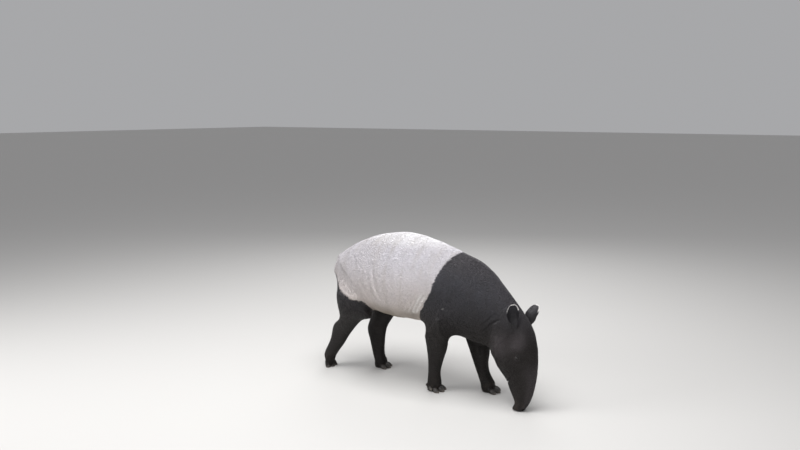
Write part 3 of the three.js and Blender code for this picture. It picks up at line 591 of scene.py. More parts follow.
def grid_object(name, grid, part=0.0, lie=None, patch=(0, 0, 1, 1), mark=None):
    """A closed surface of rings, its pole at each end the middle of the ring there, turned to face out.
    part, lie, mark and run, the length from its last ring in metres, are kept at its points, and its
    unwrap fills the given patch of the atlas."""
    rows, around = grid.shape[:2]

    def with_poles(values):
        """A grid's values in one row, then the mean of its first ring and of its last."""
        ends = [values[0].mean(axis=0), values[-1].mean(axis=0)]
        return np.concatenate([values.reshape(-1, *values.shape[2:]), ends])

    points = with_poles(grid)
    faces, uv = grid_faces(rows, around)
    a, b, c = (points[faces[:, k]] - points[0] for k in range(3))
    if (a * np.cross(b, c)).sum() < 0:
        faces, uv = faces[:, ::-1], uv[:, ::-1]
    mesh = bpy.data.meshes.new(name)
    mesh.from_pydata(metres(points).tolist(), [], faces.tolist())
    low, size = np.array(patch[:2]), np.array(patch[2:]) - patch[:2]
    mesh.uv_layers.new(name="Unwrap").data.foreach_set("uv", (low + uv * size).astype(np.float32).ravel())
    steps = np.linalg.norm(np.diff(grid.mean(axis=1), axis=0), axis=1) * MM
    run = np.concatenate([np.cumsum(steps[::-1])[::-1], [0]])
    write_values(mesh, "run", np.concatenate([np.repeat(run, around), run[[0, -1]]]))
    write_values(mesh, "mark", with_poles(np.zeros(grid.shape[:2]) if mark is None else mark))
    if part:
        write_values(mesh, "part", np.full(len(points), part))
        write_values(mesh, "lie", with_poles(lie))
    mesh.polygons.foreach_set("use_smooth", np.ones(len(mesh.polygons), bool))
    mesh.update()
    return new_object(name, mesh)


def lie_along(grid, sense):
    """The way the hair lies: along the grid from its first ring to its last, or back."""
    return unit(np.gradient(grid, axis=0)) * sense


# ---------------------------------------------------------------- the camera
CAMERA_PLACE = (2958.7, -4410.9, 1880)
CAMERA_LENS = 35.1
CAMERA_DOWN, CAMERA_HEADING = 8.4, 34.5  # degrees


def set_camera():
    """The photograph's view: its place, its heading and its slight downward pitch."""
    data = bpy.data.cameras.new("view")
    data.sensor_width = 36.0
    data.lens = CAMERA_LENS
    data.clip_end = 100
    camera = bpy.data.objects.new("view", data)
    camera.location = metres(CAMERA_PLACE)
    camera.rotation_euler = (math.radians(90 - CAMERA_DOWN), 0, math.radians(CAMERA_HEADING))
    bpy.context.scene.collection.objects.link(camera)
    bpy.context.scene.camera = camera


set_camera()

# ---------------------------------------------------------------- the skin
# Each part's number, and the reach in millimetres of the smoothing round the seam where it joins another.
PARTS = {"trunk": (1, 200), "hind_leg": (2, 100), "fore_leg": (3, 100), "toe": (4, 9), "ear": (5, 14),
         "tail": (6, 26), "lid": (7, 7), "socket": (8, 1.6), "mouth": (9, 5), "nostril": (10, 4)}
AFTER_TRUNK, AFTER_TOES = 1.5, 4.5  # between the trunk's number and the legs', and after the toes'
SEAM_ROUNDS = ((100, 420), (26, 60), (14, 20), (9, 12), (7, 10), (5, 6), (4, 5), (1.6, 1))
LIE_ROUNDS = 110
FAR = 1e9  # farther than anything on the animal


def skin_sources():
    """The grids whose union is the skin, each with its place in the unwrap."""

    def source(name, part, grid, patch, lean=0.0, sense=1, mark=None):
        """One grid, its hair lying along it and leaning up, or down where lean is negative."""
        lie = unit(lie_along(grid, sense) + (0, 0, lean))
        return grid_object("skin_" + name, grid, PARTS[part][0], lie, patch, mark)

    base = source("trunk", "trunk", trunk_grid(), (0.005, 0.38, 0.995, 0.995), -0.35, -1)
    added = []
    for k, (name, leg) in enumerate(LEGS.items()):
        added.append(source(name, "hind_leg" if "hind" in name else "fore_leg", leg_grid(leg),
                            (0.005 + 0.16 * k, 0.005, 0.155 + 0.16 * k, 0.37)))
        for i, toe in enumerate(leg_toes(leg)):
            added.append(source(f"toe_{name}_{toe[0]}", "toe", toe_grid(leg["foot"], toe, outward(name)),
                                (0.65 + 0.035 * k, 0.01 + 0.09 * i, 0.68 + 0.035 * k, 0.09 + 0.09 * i)))
    for k, (side, ear) in enumerate(EARS.items()):
        grid, mark = ear_grid(ear["base"], ear["along"], ear["open"])
        added.append(source("ear_" + side, "ear", grid, (0.8 + 0.1 * k, 0.005, 0.895 + 0.1 * k, 0.2),
                            mark=mark))
    added.append(source("tail", "tail", tube_grid(TAIL, 40, 5), (0.8, 0.21, 0.86, 0.36)))
    cut = [("mouth", mouth_grid())]
    for k, side in enumerate((-1, 1)):
        added.append(source(f"lid_{k}", "lid", lid_grid(side),
                            (0.87 + 0.06 * k, 0.21, 0.92 + 0.06 * k, 0.28), 1.0))
        cut += [("socket", piece) for piece in socket_grids(side)] + [("nostril", nostril_grid(side))]
    cut = [source(f"cut_{k}", name, grid, (0.9, 0.3, 0.96, 0.36)) for k, (name, grid) in enumerate(cut)]
    return base, added, cut


def in_collection(name, objects):
    """Objects moved out of the scene into a collection of their own, for one modifier to take in."""
    collection = bpy.data.collections.new(name)
    for obj in objects:
        bpy.context.scene.collection.objects.unlink(obj)
        collection.objects.link(obj)
    return collection


def joined(base, added, cut):
    """The union of the base with everything added, less everything cut, as one new mesh."""
    for name, objects, operation in (("added", added, "UNION"), ("cut", cut, "DIFFERENCE")):
        modifier = base.modifiers.new(name, "BOOLEAN")
        modifier.operation = operation
        modifier.solver = "MANIFOLD"
        modifier.operand_type = "COLLECTION"
        modifier.collection = in_collection("skin_" + name, objects)
    graph = bpy.context.evaluated_depsgraph_get()
    mesh = bpy.data.meshes.new_from_object(base.evaluated_get(graph), depsgraph=graph)
    for obj in [base, *added, *cut]:
        bpy.data.meshes.remove(obj.data)
    return mesh


def in_triangles(mesh):
    """The mesh with every face in triangles."""
    work = bmesh.new()
    work.from_mesh(mesh)
    bmesh.ops.triangulate(work, faces=work.faces)
    work.to_mesh(mesh)
    work.free()
    return mesh


def edge_ends(mesh):
    """The two points of every edge."""
    ends = np.zeros(len(mesh.edges) * 2, np.int32)
    mesh.edges.foreach_get("vertices", ends)
    return ends.reshape(-1, 2)


def spread(values, ends, weights):
    """For every point, the weighted mean of its neighbours' values."""
    a, b = ends.T

    def gathered(from_b, from_a):
        return np.bincount(a, from_b, len(values)) + np.bincount(b, from_a, len(values))

    columns = [gathered(weights * column[b], weights * column[a]) for column in values.T]
    return np.stack(columns, axis=1) / np.maximum(gathered(weights, weights), 1e-9)[:, None]


def near_seams(points, ends, sources, reach, rounds):
    """1 on the given points and falling evenly to 0 at reach millimetres from them, along the edges."""
    away = np.where(sources, 0.0, FAR)
    length = np.linalg.norm(points[ends[:, 0]] - points[ends[:, 1]], axis=1)
    for _ in range(rounds):
        np.minimum.at(away, ends[:, 0], away[ends[:, 1]] + length)
        np.minimum.at(away, ends[:, 1], away[ends[:, 0]] + length)
    return np.clip(1 - away / reach, 0, 1)


def flank_web(points):
    """1 on the fold of skin from the belly to the stifle and 0 away from it."""
    x, _, z = points.T
    return ramp(-345, -285, x) * ramp(-60, -120, x) * ramp(590, 530, z)


def smooth_seams(points, part, lie, others, ends):
    """Rounds the joins: points near a seam move toward the mean of their neighbours, as often and as far
    out as the joining part's reach asks, but little on the fold from the flank to the stifle. The lie runs
    on across the seam, and the seam's new points take the other values from their neighbours."""
    numbers = np.array([number for number, _ in PARTS.values()], float)
    reaches = np.array([reach for _, reach in PARTS.values()], float)
    nearest = np.abs(part[:, None] - numbers).argmin(axis=1)
    whole = np.abs(part - numbers[nearest]) < 0.01
    crossing = whole[ends[:, 0]] & whole[ends[:, 1]] & (nearest[ends[:, 0]] != nearest[ends[:, 1]])
    seam = ~whole
    seam[ends[crossing].ravel()] = True
    reach = np.where(whole, reaches[nearest], FAR)
    for _ in range(3):
        for a, b in ((0, 1), (1, 0)):
            np.minimum.at(reach, ends[:, a], np.where(seam[ends[:, a]], reach[ends[:, b]], FAR))
    even = np.ones(len(ends))
    for _ in range(6):
        lie = np.where(whole[:, None], lie, unit(spread(lie, ends, even)))
        others = np.where(whole[:, None], others, spread(others, ends, even))
    for size, rounds in SEAM_ROUNDS:
        weight = near_seams(points, ends, seam & (reach == size), size, 24 if size > 20 else 8)
        near = np.zeros(len(points), bool)
        near[ends[(weight[ends] > 0).any(axis=1)].ravel()] = True
        local = np.cumsum(near) - 1
        local_ends = local[ends[near[ends].all(axis=1)]]
        pull = (weight * (2 - weight) * (1 - 0.9 * flank_web(points)))[near, None] * 0.7
        state = np.concatenate([points, lie], axis=1)[near]
        even = np.ones(len(local_ends))
        for _ in range(rounds):
            state = state + pull * (spread(state, local_ends, even) - state)
        points[near], lie[near] = state[:, :3], unit(state[:, 3:])
    points[:, 2] = np.maximum(points[:, 2], SOLE)
    return points, numbers[nearest], lie, others


def blended_lie(lie, part, ends):
    """The lie of the hair, turned down on the trunk's sides, and evened out where the legs leave it."""
    furred = part < PARTS["fore_leg"][0] + 0.5
    lie = unit(lie + np.where((part < AFTER_TRUNK)[:, None], (0, 0, -0.45), 0))
    ends = ends[furred[ends].all(axis=1)]
    even = np.ones(len(ends))
    for _ in range(LIE_ROUNDS):
        lie = np.where(furred[:, None], unit(0.2 * lie + 0.8 * unit(spread(lie, ends, even))), lie)
    return lie


def triangles_of(mesh):
    """The three points of every triangle."""
    corners = np.zeros(len(mesh.polygons) * 3, np.int32)
    mesh.polygons.foreach_get("vertices", corners)
    return corners.reshape(-1, 3)


def normals_of(points, corners):
    """Each point's unit normal, the sum of its triangles' normals by their areas."""
    a, b, c = (points[corners[:, k]] for k in range(3))
    face = np.cross(b - a, c - a)
    total = [sum(np.bincount(corners[:, k], column, len(points)) for k in range(3)) for column in face.T]
    return unit(np.stack(total, axis=1))


def line_distance(points, line):
    """How far each point is from a line of straight steps, and how far along it, from 0 to 1."""
    line = np.array(line, float)
    steps = np.diff(line, axis=0)
    run = np.concatenate([[0], np.cumsum(np.linalg.norm(steps, axis=1))])
    best, along = np.full(len(points), FAR), np.zeros(len(points))
    for k, step in enumerate(steps):
        t = np.clip(((points - line[k]) @ step) / (step @ step), 0, 1)
        away = np.linalg.norm(points - line[k] - t[:, None] * step, axis=1)
        along = np.where(away < best, (run[k] + t * (run[k + 1] - run[k])) / run[-1], along)
        best = np.minimum(best, away)
    return best, along


def wander(points, size, seed):
    """A soft wave between -1 and 1: the mean of six sines of the place, each its own way, size apart."""
    draw = np.random.default_rng(seed)
    ways = unit(draw.normal(size=(6, 3))) * 2 * np.pi / (size * draw.uniform(0.8, 1.6, (6, 1)))
    return np.sin(points @ ways.T + draw.uniform(0, 2 * np.pi, 6)).mean(axis=1) * 1.6


def folded(points, normals, part, run, mark):
    """Skin moved along its normal: into each fold by depth * (1 - q^2) * exp(-q^2 / 2), q the distance
    over the width, fading at both ends, by a soft unevenness of the flesh, and by rings round the trunk
    of the nose. The folds' lips and the scars are marked pale."""
    push = np.zeros(len(points))
    for line, width, depth, pale, sides in FOLDS:
        for side in (1, -1)[:sides]:
            seen = np.array(line, float)
            if side < 0:
                middle = np.where(seen[:, 0] > 600, EYE_MIDDLE * ramp(600, 900, seen[:, 0]), 0)
                seen[:, 1] = 2 * middle - seen[:, 1]
            away, along = line_distance(points, seen)
            q = away / (width * (1 + 0.25 * wander(points, 60, 5)))
            fade = ramp(0, 0.22, along) * ramp(0, 0.22, 1 - along)
            push -= depth * fade * (1 - q**2) * np.exp(-(q**2) / 2)
            mark = np.maximum(mark, pale * fade * bell((q - 1.5) / 0.8))
    for line, width, pale in SCARS:
        mark = np.maximum(mark, pale * ramp(width, 0.4 * width, line_distance(points, line)[0]))
    trunk = part < AFTER_TRUNK
    body = trunk & (points[:, 0] < 620)
    push += np.where(body, 1.6 * wander(points * (1, 0.5, 0.45), 90, 1), 0.5 * wander(points, 60, 2))
    ringed = np.where(trunk, ramp(260, 170, run) * ramp(20, 40, run), 0)
    push += 0.55 * ringed * np.sin(2 * np.pi * run / 13 + 2.2 * wander(points, 45, 3))
    push *= ramp(6, 40, points[:, 2])
    return points + normals * push[:, None], mark


def saddle_edge(points, part):
    """How far inside the pale saddle a point is, in millimetres, negative on the black."""
    x, y, z = points.T
    left = ramp(-60, 60, y)
    front_height, front_x = np.array(SADDLE_FRONT, float).T
    rear_x, rear_height = np.array(SADDLE_REAR, float).T
    front = np.interp(z, front_height, front_x) + 80 * left * ramp(800, 520, z) - x
    middle = np.where((part < AFTER_TRUNK) & (x > -440), 90 * (1 - ramp(60, 120, np.abs(y))), 0)
    hind_leg = np.abs(part - PARTS["hind_leg"][0]) < 0.5
    flank_fold = np.where(hind_leg, 200 * ramp(-345, -240, x) * ramp(585, 530, z), 0)
    rear = z - np.interp(x - 60 * left, rear_x, rear_height) + middle - flank_fold
    return np.minimum(front * 0.9, rear * 0.8)


def painted_highlight_of(points, normals, part):
    """How much painted highlight the black coat gets, standing in for the sky's sheen: most on the face's
    upper planes and the cheek, and on whatever looks up, and not at all round the eye, at the mouth, in front
    of the eye and on the legs."""
    x, _, z = points.T
    cheek = bell((x - 775) / 75) * bell((z - 410) / 80)
    brow = bell((x - 905) / 45) * bell((z - 455) / 55)
    bridge = ramp(0.1, 0.8, normals[:, 0]) * ramp(360, 200, z) * 0.7
    # Where the highlight is held back: painted shade in the hollow in front of the eye and at the corner of
    # the mouth.
    dark = np.zeros(len(points))
    for side in (-1, 1):
        before_eye = eye_frame(side)[0] + (14, 0, -12)
        mouth_corner = (858, TRUNK["lip"][4] + 56 * side, 200)
        for centre, reach in ((before_eye, (46, 60, 26)), (mouth_corner, (22, 30, 20))):
            away = np.linalg.norm((points - centre) / reach, axis=1)
            dark = np.maximum(dark, bell(away))
    painted_highlight = np.clip(face_share(points, part) * (0.9 * cheek + 0.8 * brow + bridge), 0, 1)
    painted_highlight = np.clip(painted_highlight + 0.5 * ramp(0.35, 0.95, normals[:, 2]), 0, 1)
    return painted_highlight * (1 - dark) * np.where(part < AFTER_TRUNK, 1, 0.3)


def face_share(points, part):
    """0 on the body and 1 on the face, across the plane of the nape."""
    ahead = (points[:, 0] - 737) * 0.918 - (points[:, 2] - 521) * 0.399
    return np.where((part < AFTER_TRUNK) | (part > AFTER_TOES), ramp(-70, 130, ahead), 0)


def build_skin():
    """The whole hide as one closed mesh, with what its material and its coat read at each point."""
    mesh = in_triangles(joined(*skin_sources()))
    points = np.zeros(len(mesh.vertices) * 3)
    mesh.vertices.foreach_get("co", points)
    points = (points.reshape(-1, 3) - SHIFT) / MM
    ends, corners = edge_ends(mesh), triangles_of(mesh)
    others = np.stack([read_values(mesh, "run"), read_values(mesh, "mark")], axis=1)
    part, lie = read_values(mesh, "part"), read_values(mesh, "lie", 3)
    points, part, lie, others = smooth_seams(points, part, lie, others, ends)
    lie = blended_lie(lie, part, ends)
    points, mark = folded(points, normals_of(points, corners), part, others[:, 0] / MM, others[:, 1])
    mesh.vertices.foreach_set("co", metres(points).astype(np.float32).ravel())
    normals = normals_of(points, corners)
    pad = ramp(34, 16, points[:, 2]) * ramp(905, 935, points[:, 0])
    lids = np.where(part == PARTS["lid"][0], ramp(0.019, 0.0215, others[:, 0]), 0)
    bare = np.clip(pad + lids + (part >= PARTS["socket"][0]), 0, 1)
    for name, values in (("part", part), ("lie", lie), ("run", others[:, 0]), ("mark", mark),
                         ("bare", bare), ("saddle", saddle_edge(points, part) * MM),
                         ("painted_highlight", painted_highlight_of(points, normals, part))):
        write_values(mesh, name, values)
    mesh.polygons.foreach_set("use_smooth", np.ones(len(mesh.polygons), bool))
    mesh.update()
    mesh.name = "skin"
    skin = new_object("skin", mesh)
    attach(skin, "root")
    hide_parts(*[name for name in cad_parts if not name.startswith(("eye", "hoof"))])
    return skin, points, normals, corners


skin, skin_points, skin_normals, skin_corners = build_skin()

# ---------------------------------------------------------------- hooves and eyes
def build_hooves(material):
    """A horn piece over each hoof node."""
    for name, leg in LEGS.items():
        for toe in leg_toes(leg):
            hoof = grid_object(f"horn_{name}_{toe[0]}", hoof_grid(leg["foot"], toe, outward(name)))
            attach(hoof, "root")
            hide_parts(f"hoof_{name}_{toe[0]}")
            hoof.data.materials.append(material)


def eye_grid(side):
    """An eyeball of rings about the way it looks, its cornea a twentieth prouder, and how far each point
    is turned from that way."""
    centre, axes = eye_frame(side)
    grid = ball_grid((0, 0, 0), np.full(3, EYE_RADIUS), np.eye(3), 40, 48)
    off = np.arccos(np.clip(grid[..., 1] / EYE_RADIUS, -1, 1))
    return centre + (grid * (1 + 0.05 * bell(off / 0.6))[..., None]) @ axes.T, off


def build_eyes(material):
    """Two wet dark eyes over the eye nodes."""
    for name, side in (("right", -1), ("left", 1)):
        grid, off = eye_grid(side)
        eye = grid_object("eyeball_" + name, grid, mark=off)
        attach(eye, "root")
        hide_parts("eye_" + name)
        eye.data.materials.append(material)


# ---------------------------------------------------------------- the coat of tufts
def corner_places(mesh):
    """Every triangle corner's place in the unwrap, (triangles, 3, 2)."""
    places = np.zeros(len(mesh.loops) * 2, np.float32)
    mesh.uv_layers["Unwrap"].data.foreach_get("uv", places)
    return places.reshape(-1, 3, 2).astype(float)


def scattered(points, corners, density, count, draw):
    """Random places on the skin: triangles drawn by area times density, and a random place in each, as
    the triangle's number and the three weights of its corners."""
    a, b, c = (points[corners[:, k]] for k in range(3))
    area = np.linalg.norm(np.cross(b - a, c - a), axis=1) * density[corners].mean(axis=1)
    chosen = np.searchsorted(np.cumsum(area) / area.sum(), draw.random(count))
    r, t = np.sqrt(draw.random(count)), draw.random(count)
    return np.minimum(chosen, len(corners) - 1), np.stack([1 - r, r * (1 - t), r * t], axis=1)


def tuft_shapes(root, out, lie, length, width, lift, draw):
    """Each tuft is a thin spindle of five points and six triangles: its root under the skin, a ridge and
    two edges near its middle, and its tip. The tip is root + length * (lie * cos lift + out * sin lift),
    and the edges stand half the width either side of a point 0.42 of the way along."""
    side = unit(np.cross(out, lie))
    along = lie * np.cos(lift)[:, None] + out * np.sin(lift)[:, None]
    middle = root + along * (0.42 * length)[:, None] + out * (0.10 * width)[:, None]
    half = side * (width / 2)[:, None]
    ridge = middle + out * (0.24 * width)[:, None]
    tip = root + along * length[:, None] + side * (width * draw.normal(0, 0.35, len(root)))[:, None]
    start = root - out * (0.12 * width)[:, None]
    return np.stack([start, middle - half, middle + half, ridge, tip], axis=1)


TUFT_FACES = np.array([(0, 2, 1), (0, 3, 2), (0, 1, 3), (4, 1, 2), (4, 2, 3), (4, 3, 1)])
TUFT_PATCH = np.array([(0, -1.0), (-1, -0.1), (1, -0.1), (0, 0.1), (0, 1)]) * 0.0015


def build_coat(name, wanted, count, length, width, lift, seed, material):
    """One piece of the coat: tufts rooted where wanted, as long, wide and raised as the values at the
    skin's points say, with what the coat's material reads and a small bake patch at each root."""
    draw = np.random.default_rng(seed)
    chosen, weights = scattered(skin_points, skin_corners, wanted, count, draw)
    at = skin_corners[chosen]

    def held(values):
        values = values[at]
        return (values * (weights if values.ndim == 2 else weights[..., None])).sum(axis=1)

    out = unit(held(skin_normals))
    lie = held(read_values(skin.data, "lie", 3)) + draw.normal(0, 0.10, (count, 3))
    lie = unit(lie - out * (lie * out).sum(axis=1, keepdims=True))
    size = draw.uniform(0.8, 1.2, count)
    raised = np.radians(held(lift)) * draw.uniform(0.7, 1.35, count)
    shapes = tuft_shapes(held(skin_points), out, lie, held(length) * size, held(width) * size, raised, draw)
    shapes[..., 2] = np.maximum(shapes[..., 2], 0.4)
    faces = (np.arange(count)[:, None, None] * 5 + TUFT_FACES).reshape(-1, 3)
    mesh = bpy.data.meshes.new(name)
    mesh.vertices.add(count * 5)
    mesh.vertices.foreach_set("co", metres(shapes).astype(np.float32).ravel())
    mesh.loops.add(len(faces) * 3)
    mesh.loops.foreach_set("vertex_index", faces.astype(np.int32).ravel())
    mesh.polygons.add(len(faces))
    mesh.polygons.foreach_set("loop_start", np.arange(len(faces), dtype=np.int32) * 3)
    mesh.polygons.foreach_set("use_smooth", np.ones(len(faces), bool))
    places = (corner_places(skin.data)[chosen] * weights[..., None]).sum(axis=1)
    patches = places[:, None, None] + TUFT_PATCH[TUFT_FACES]
    mesh.uv_layers.new(name="OFBake").data.foreach_set("uv", patches.astype(np.float32).ravel())
    for key in ("saddle", "mark", "bare", "painted_highlight"):
        write_values(mesh, key, np.repeat(held(read_values(skin.data, key)), 5))
    write_values(mesh, "tone", np.repeat(draw.random(count), 5))
    write_values(mesh, "lie", np.repeat(lie, 5, axis=0))
    mesh.update(calc_edges=True)
    mesh.validate()
    coat = new_object(name, mesh)
    mesh.materials.append(material)
    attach(coat, "root")


def build_coats(material):
    """The whole coat, in pieces that each stay well under 200,000 triangles."""
    part, mark = read_values(skin.data, "part"), read_values(skin.data, "mark")
    x, _, z = skin_points.T
    face = face_share(skin_points, part)
    legs = (part > AFTER_TRUNK) & (part < AFTER_TOES)
    ear = part == PARTS["ear"][0]
    length = TUFT_LENGTH - TUFT_SHORTER["thigh"] * np.where(legs, ramp(600, 400, z), 0)
    length = length - TUFT_SHORTER["foot"] * np.where(legs, ramp(420, 120, z), 0)
    length = length - TUFT_SHORTER["face"] * face * ramp(-0.2, 0.7, face)
    length = np.where(ear, EAR_TUFT[0], length)
    share = np.where(legs, TUFT_WIDTH["legs"], TUFT_WIDTH["body"] - TUFT_WIDTH["face_less"] * face)
    width = np.where(ear, EAR_TUFT[1], share * length)
    lift = np.where(ear, EAR_LIFT, TUFT_LIFT)
    cover = 1 - read_values(skin.data, "bare")
    cover = cover * ramp(3, 12, z) * (part < PARTS["socket"][0]) * np.where(ear & (mark < -0.5), 0, 1)
    for side in (-1, 1):
        cover = cover * ramp(16, 21, np.linalg.norm(skin_points - eye_frame(side)[0], axis=1))
    even = cover / np.maximum(length * width, 1)
    body = ~legs & ~ear & (face < 0.3)
    regions = [
        ("coat_rump", body & (x < -190), 31000),
        ("coat_flank", body & (x >= -190) & (x < 130), 31000),
        ("coat_ribs", body & (x >= 130) & (x < 430), 31000),
        ("coat_neck", body & (x >= 430), 29000),
        ("coat_face", ~legs & ~ear & (face >= 0.3), 32000),
        ("coat_legs_hind", legs & (x < 0), 32000),
        ("coat_legs_fore", legs & (x >= 0), 32000),
        ("coat_ears", ear, 9000),
    ]
    for seed, (name, where, count) in enumerate(regions, start=11):
        build_coat(name, even * where, count, length, width, lift, seed, material)


# ---------------------------------------------------------------- materials
def new_group(name, inputs, outputs):
    """An empty shader node group with the given sockets, and its input and output nodes."""
    group = bpy.data.node_groups.new(name, "ShaderNodeTree")
    for label, kind, value in inputs:
        socket = group.interface.new_socket(name=label, in_out="INPUT", socket_type=kind)
        if value is not None:
            socket.default_value = value
    for label, kind in outputs:
        group.interface.new_socket(name=label, in_out="OUTPUT", socket_type=kind)
    return group, group.nodes.new("NodeGroupInput"), group.nodes.new("NodeGroupOutput")


def is_socket(value):
    """Whether a value comes from another node."""
    return isinstance(value, bpy.types.NodeSocket)


def fill(tree, made, values):
    """A node with each of its named or numbered inputs set to a value or linked."""
    for key, value in values.items():
        if is_socket(value):
            tree.links.new(value, made.inputs[key])
        else:
            made.inputs[key].default_value = value
    return made


def node(tree, kind, values, **settings):
    """A new node with its settings and its inputs."""
    made = tree.nodes.new("ShaderNode" + kind)
    for key, value in settings.items():
        setattr(made, key, value)
    return fill(tree, made, values)


def object_place(tree):
    """The place on the object, in its own coordinates."""
    return node(tree, "TexCoord", {}).outputs["Object"]


def height_of(tree, place):
    """The height of a place."""
    return node(tree, "SeparateXYZ", {0: place}).outputs["Z"]


def stretched(tree, vector, factors):
    """A vector times three factors."""
    return node(tree, "VectorMath", {0: vector, 1: factors}, operation="MULTIPLY").outputs[0]


def maths(tree, operation, *values):
    """The result of one Math node."""
    return node(tree, "Math", dict(enumerate(values)), operation=operation).outputs[0]


def mapped(tree, value, low, high, to_low=0.0, to_high=1.0):
    """A value taken smoothly from one range to another, and held at its ends."""
    made = node(tree, "MapRange", {"Value": value, "From Min": low, "From Max": high, "To Min": to_low,
                                   "To Max": to_high}, interpolation_type="SMOOTHSTEP")
    return made.outputs["Result"]


def mixed(tree, factor, one, other, blend="MIX"):
    """Two colours mixed."""
    one, other = (colour if is_socket(colour) else (*colour, 1) for colour in (one, other))
    return node(tree, "Mix", {0: factor, 6: one, 7: other}, data_type="RGBA", blend_type=blend).outputs[2]


def layered(tree, colour, layers):
    """A colour with others laid over it in turn, each a mask and its colour."""
    for mask, other in layers:
        colour = mixed(tree, mask, colour, other)
    return colour


def noise(tree, vector, scale, detail, roughness=0.5):
    """The value of one noise."""
    return node(tree, "TexNoise", {"Vector": vector, "Scale": scale, "Detail": detail,
                                   "Roughness": roughness}).outputs["Fac"]


def attribute(tree, name, output="Fac"):
    """A value kept at the mesh's points."""
    return node(tree, "Attribute", {}, attribute_name=name).outputs[output]


def streaks_group():
    """Fine streaks along the lie of the hair: three noises, each drawn out along one axis, mixed by the
    squares of the lie's parts along those axes."""
    group, given, result = new_group(
        "hair_streaks", [("Lie", "NodeSocketVector", None), ("Scale", "NodeSocketFloat", 300.0)],
        [("Value", "NodeSocketFloat")])
    place, lie = object_place(group), given.outputs["Lie"]
    shares = node(group, "SeparateXYZ", {0: stretched(group, lie, lie)}).outputs
    total = 0.0
    for axis in range(3):
        drawn = stretched(group, place, [0.12 if k == axis else 1.0 for k in range(3)])
        value = maths(group, "MULTIPLY", noise(group, drawn, given.outputs["Scale"], 3.0), shares[axis])
        total = maths(group, "ADD", total, value)
    fill(group, result, {"Value": total})
    return group


def markings_group():
    """The animal's colours: the black of its ends, paler and bluer higher up on the neck and shoulders as
    painted sky sheen, with painted highlights on the face and where it faces up; the saddle, warm low down,
    partly from dirt, and lilac grey higher up as painted sky light, with a painted highlight along the top of
    the back, its darker mottling and painted shade of soft vertical folds on the flank, its stained belly and
    its whiter folds; and the bare skin."""
    labels = {"Saddle": 0.0, "Mark": 0.0, "Bare": 0.0, "Tone": 0.5, "Edge": 0.006, "Painted_highlight": 0.0}
    group, given, result = new_group(
        "tapir_markings", [(label, "NodeSocketFloat", value) for label, value in labels.items()],
        [("Color", "NodeSocketColor"), ("Pale", "NodeSocketFloat"), ("Roughness", "NodeSocketFloat")])
    saddle_in, mark_in, bare, tone, edge, painted_highlight = (given.outputs[label] for label in labels)
    place = object_place(group)
    height = height_of(group, place)
    ragged = maths(group, "MULTIPLY", maths(group, "SUBTRACT", noise(group, place, 55.0, 3.0), 0.5), 0.02)
    pale = mapped(group, maths(group, "DIVIDE", maths(group, "ADD", saddle_in, ragged), edge), -1.0, 1.0)

    broad, cloudy = noise(group, place, 3.2, 3.0), noise(group, place, 14.0, 4.0, 0.6)
    # Noise drawn out upright: painted shade of the soft vertical folds on the flank, as darker streaks in the
    # saddle.
    painted_fold_shade = noise(group, stretched(group, place, (26.0, 6.0, 3.5)), 1.0, 3.0)
    mud = maths(group, "MULTIPLY", mapped(group, height, 0.16, 0.0), mapped(group, cloudy, 0.42, 0.70))
    # The black: warm low down, paler and bluer 0.40 to 0.80 m up as painted sky sheen, random mottling, the
    # painted highlight, mud near the floor.
    black = layered(group, (0.0070, 0.0044, 0.0034), [
        (mapped(group, height, 0.40, 0.80), (0.0460, 0.0455, 0.0545)),
        (mapped(group, cloudy, 0.35, 0.75, 0.0, 0.30), (0.0240, 0.0200, 0.0200)),
        (painted_highlight, (0.0480, 0.0400, 0.0430)),
        (maths(group, "MULTIPLY", mud, 0.30), (0.090, 0.068, 0.050))])
    stain = maths(group, "MULTIPLY", mapped(group, height, 0.62, 0.47),
                  mapped(group, broad, 0.30, 0.62, 0.25, 1.0))
    # The saddle: warm low down, partly dirt, lilac grey 0.52 to 0.92 m up as painted sky light, a painted
    # highlight along the back's top above 0.95 m.
    saddle = layered(group, (0.640, 0.575, 0.540), [
        (mapped(group, height, 0.52, 0.92), (0.620, 0.600, 0.640)),
        (mapped(group, height, 0.95, 1.02), (0.840, 0.830, 0.850)),
        (mapped(group, broad, 0.35, 0.70, 0.0, 0.40), (0.560, 0.530, 0.545)),
        (mapped(group, cloudy, 0.45, 0.80, 0.0, 0.20), (0.460, 0.425, 0.415)),
        (mapped(group, painted_fold_shade, 0.45, 0.75, 0.0, 0.28), (0.430, 0.390, 0.355)),
        (maths(group, "MULTIPLY", stain, 0.92), (0.185, 0.145, 0.088))])
    mark = node(group, "Clamp", {0: mark_in}).outputs[0]
    cup = mapped(group, mark_in, -0.3, -1.5)
    hide = mixed(group, mapped(group, cloudy, 0.3, 0.7), (0.0080, 0.0062, 0.0062), (0.0190, 0.0145, 0.0140))
    colour = layered(group, black, [
        (pale, saddle),
        (maths(group, "MULTIPLY", mark, 0.95), (0.88, 0.86, 0.84)),
        (maths(group, "MULTIPLY", cup, 0.85), (0.0050, 0.0040, 0.0040)),
        (bare, hide)])
    reach = mapped(group, pale, 0.0, 1.0, 0.56, 0.20)
    shade = maths(group, "ADD", 1.0, maths(group, "MULTIPLY", maths(group, "SUBTRACT", tone, 0.5), reach))
    grey = node(group, "CombineColor", {0: shade, 1: shade, 2: shade}).outputs[0]
    fill(group, result, {
        "Color": mixed(group, 1.0, colour, grey, "MULTIPLY"), "Pale": pale,
        "Roughness": maths(group, "ADD", 0.44, maths(group, "MULTIPLY", pale, 0.24))})
    return group


def new_material(name):
    """A material with nodes, its tree and its shader."""
    material = bpy.data.materials.new(name)
    material.use_nodes = True
    return material, material.node_tree, material.node_tree.nodes["Principled BSDF"]


